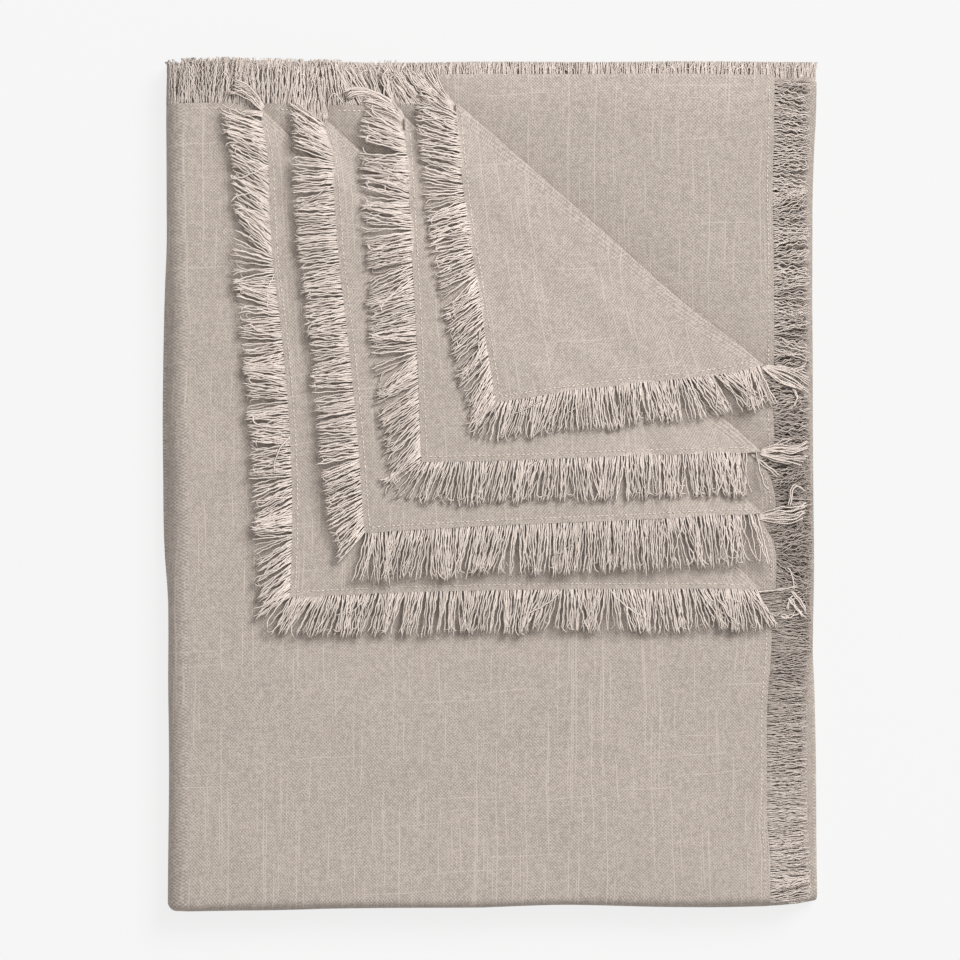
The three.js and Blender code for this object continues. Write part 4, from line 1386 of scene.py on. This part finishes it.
class TABLECLOTH_OT_top_fringes(bpy.types.Operator):
    """Make the fringes of the top hems, round the thick left fold and under the pile"""

    bl_idname = "tablecloth.top_fringes"
    bl_label = "Fringes at the top"

    def execute(self, context):
        settings = context.scene.tablecloth
        # The outer fringe's tone of 0.85 is painted shade, and so are the lower tiers' and the
        # rim's tones under 1
        calm = {"unrest": 0.6, "wave": 0.28, "loft": 0.8 * MM, "ragged": 0.3, "cap": 0.96,
                "loose": 0}
        crimp = {"unrest": 1.0, "wave": 0.5, "wave_length": 4.5 * MM, "loft": 0.9 * MM,
                 "ragged": 0.25, "cap": 0.96, "tone": 0.85, "reach": 1.1, "loose": 0}
        even = {"unrest": 0.25, "wave": 0.12, "loft": 0.4 * MM, "ragged": 0.15, "loose": 0,
                "reach": 1.03, "cap": 1.0}
        tiers = ((1.2, 0.5, 1.0), (1.2, 0.1, 0.85))
        outer = Yarns(settings, tiers=tiers, segments=18, **crimp)
        short = Yarns(settings, tiers=tiers, segments=11, reach=0.86, **calm)
        seen = Yarns(settings, tiers=tiers, segments=11, **calm)
        rim = Yarns(settings, tiers=((0.7, 0.3, 0.85), (0.9, 0.0, 0.75)), segments=6, **even)
        # Node, zones of the ply, its layer of the upper half, and how its yarns look
        rows = (
            ("outer", ("upper", "lower"), 1, outer),
            ("2", ("upper",), 2, short),
            ("3", ("upper",), 3, seen),
            ("4", ("upper",), 4, seen),
            ("13", ("lower",), 4, rim),
            (None, ("lower",), 3, rim),
            (None, ("lower",), 2, rim),
        )
        inner = []
        for i, (name, zones, layer, look) in enumerate(rows):
            make_roots = partial(top_roots, zones, layer)
            made = fringe(make_roots, settings.top_fringe_length, look, 20000 + 100 * i)
            if name:
                yarn_object(f"yarns_fringe_top_{name}", *made, node=f"fringe_top_{name}")
            else:
                inner.append(made)
        yarn_object("yarns_fringe_top_inner", *joined(inner))
        return {"FINISHED"}


class TABLECLOTH_OT_stitching(bpy.types.Operator):
    """Make the row of stitches beside each hem that shows"""

    bl_idname = "tablecloth.stitching"
    bl_label = "Hem stitching"

    def execute(self, context):
        settings = context.scene.tablecloth
        inset = settings.stitch_inset
        lift = settings.cloth_thickness / 2 + 0.12 * MM
        lines = []
        for flap in FLAPS:
            for which, inward in (("left", -1), ("lower", 1)):
                line = flap.hem(which, np.linspace(0.03, 0.985, 160))
                slope = unit(np.gradient(line, axis=0))
                line = line + inward * inset * np.stack([slope[:, 1], -slope[:, 0]], -1)
                lines.append((flap.layer, np.column_stack([line, flap.height(line)])))
        lows = [LOWER_TURN_Y, *[flap.right[1] for flap in FLAPS], UPPER_TURN_Y]
        lefts = [LEFT_TURN_X, *[flap.top[0] for flap in FLAPS]]
        for i in range(5):
            ys = np.linspace(lows[i] + 2 * MM, lows[i + 1] - 2 * MM, 60)
            lines.append((i + 1, np.column_stack([0 * ys + RIGHT_HEM_X - inset, ys, 0 * ys])))
        for i in range(4):
            xs = np.linspace(lefts[i] + 2 * MM, lefts[i + 1] - 3 * MM, 60)
            lines.append((i + 1, np.column_stack([xs, 0 * xs + TOP_HEM_Y - inset, 0 * xs])))
        for layer, line in lines[2 * len(FLAPS):]:
            line[:, 2] = layer_height(layer) + bare_swell(layer, line)
        parts = [
            stitches(drawn(line, layer) + (0, 0, lift), settings.stitch_pitch, 60 + i)
            for i, (layer, line) in enumerate(lines)
        ]
        yarn_object("hem_stitches", *joined(parts))
        return {"FINISHED"}


class TABLECLOTH_OT_stage(bpy.types.Operator):
    """Make the floor, the lights and the camera straight above"""

    bl_idname = "tablecloth.stage"
    bl_label = "Floor, lights and camera"

    def execute(self, context):
        scene = context.scene
        span = np.array([(-3, -3), (3, -3), (3, 3), (-3, 3)], float)
        corners = np.column_stack([span, np.full(4, -0.0002)])
        floor = mesh_object("floor", corners, np.array([(0, 1, 2), (0, 2, 3)]))
        floor.data.materials.append(pale_floor())
        view_from(context, Vector((-0.0062, 0.0054)))
        area_light("key_light", (2.85, 3.15, 4.2), 3.0, 337.5)
        area_light("top_light", (0.2, 0.2, 4.0), 2.6, 30.0)
        world = bpy.data.worlds.new("soft_room")
        world.use_nodes = True
        background = world.node_tree.nodes["Background"]
        background.inputs["Color"].default_value = (1.0, 0.99, 0.98, 1)
        background.inputs["Strength"].default_value = 0.29
        scene.world = world
        scene.view_settings.view_transform = "Standard"
        scene.view_settings.look = "None"
        return {"FINISHED"}


class TABLECLOTH_PT_panel(bpy.types.Panel):
    """Lists the pieces of the folded tablecloth"""

    bl_idname = "TABLECLOTH_PT_panel"
    bl_label = "Folded tablecloth"
    bl_space_type = "VIEW_3D"
    bl_region_type = "UI"
    bl_category = "Tablecloth"

    def draw(self, context):
        settings = context.scene.tablecloth
        column = self.layout.column()
        for name in TableclothSettings.__annotations__:
            column.prop(settings, name)
        for operator in OPERATORS:
            column.operator(operator.bl_idname)


OPERATORS = (
    TABLECLOTH_OT_stage,
    TABLECLOTH_OT_cloth,
    TABLECLOTH_OT_corner_fringes,
    TABLECLOTH_OT_right_fringes,
    TABLECLOTH_OT_top_fringes,
    TABLECLOTH_OT_stitching,
)
CLASSES = (TableclothSettings, *OPERATORS, TABLECLOTH_PT_panel)


def register():
    for cls in CLASSES:
        bpy.utils.register_class(cls)
    bpy.types.Scene.tablecloth = bpy.props.PointerProperty(type=TableclothSettings)


def unregister():
    del bpy.types.Scene.tablecloth
    for cls in reversed(CLASSES):
        bpy.utils.unregister_class(cls)


def declare_cloth():
    """Works out the pair's path along the pile and the cloth's path across it, and keeps neither.
    """
    path, across = PairPath(20 * MM), AcrossPath(20 * MM)


def main():
    register()
    bpy.ops.tablecloth.stage()
    bpy.ops.tablecloth.cloth()
    bpy.ops.tablecloth.corner_fringes()
    bpy.ops.tablecloth.right_fringes()
    bpy.ops.tablecloth.top_fringes()
    bpy.ops.tablecloth.stitching()
    declare_cloth()


if __name__ == "__main__":
    main()
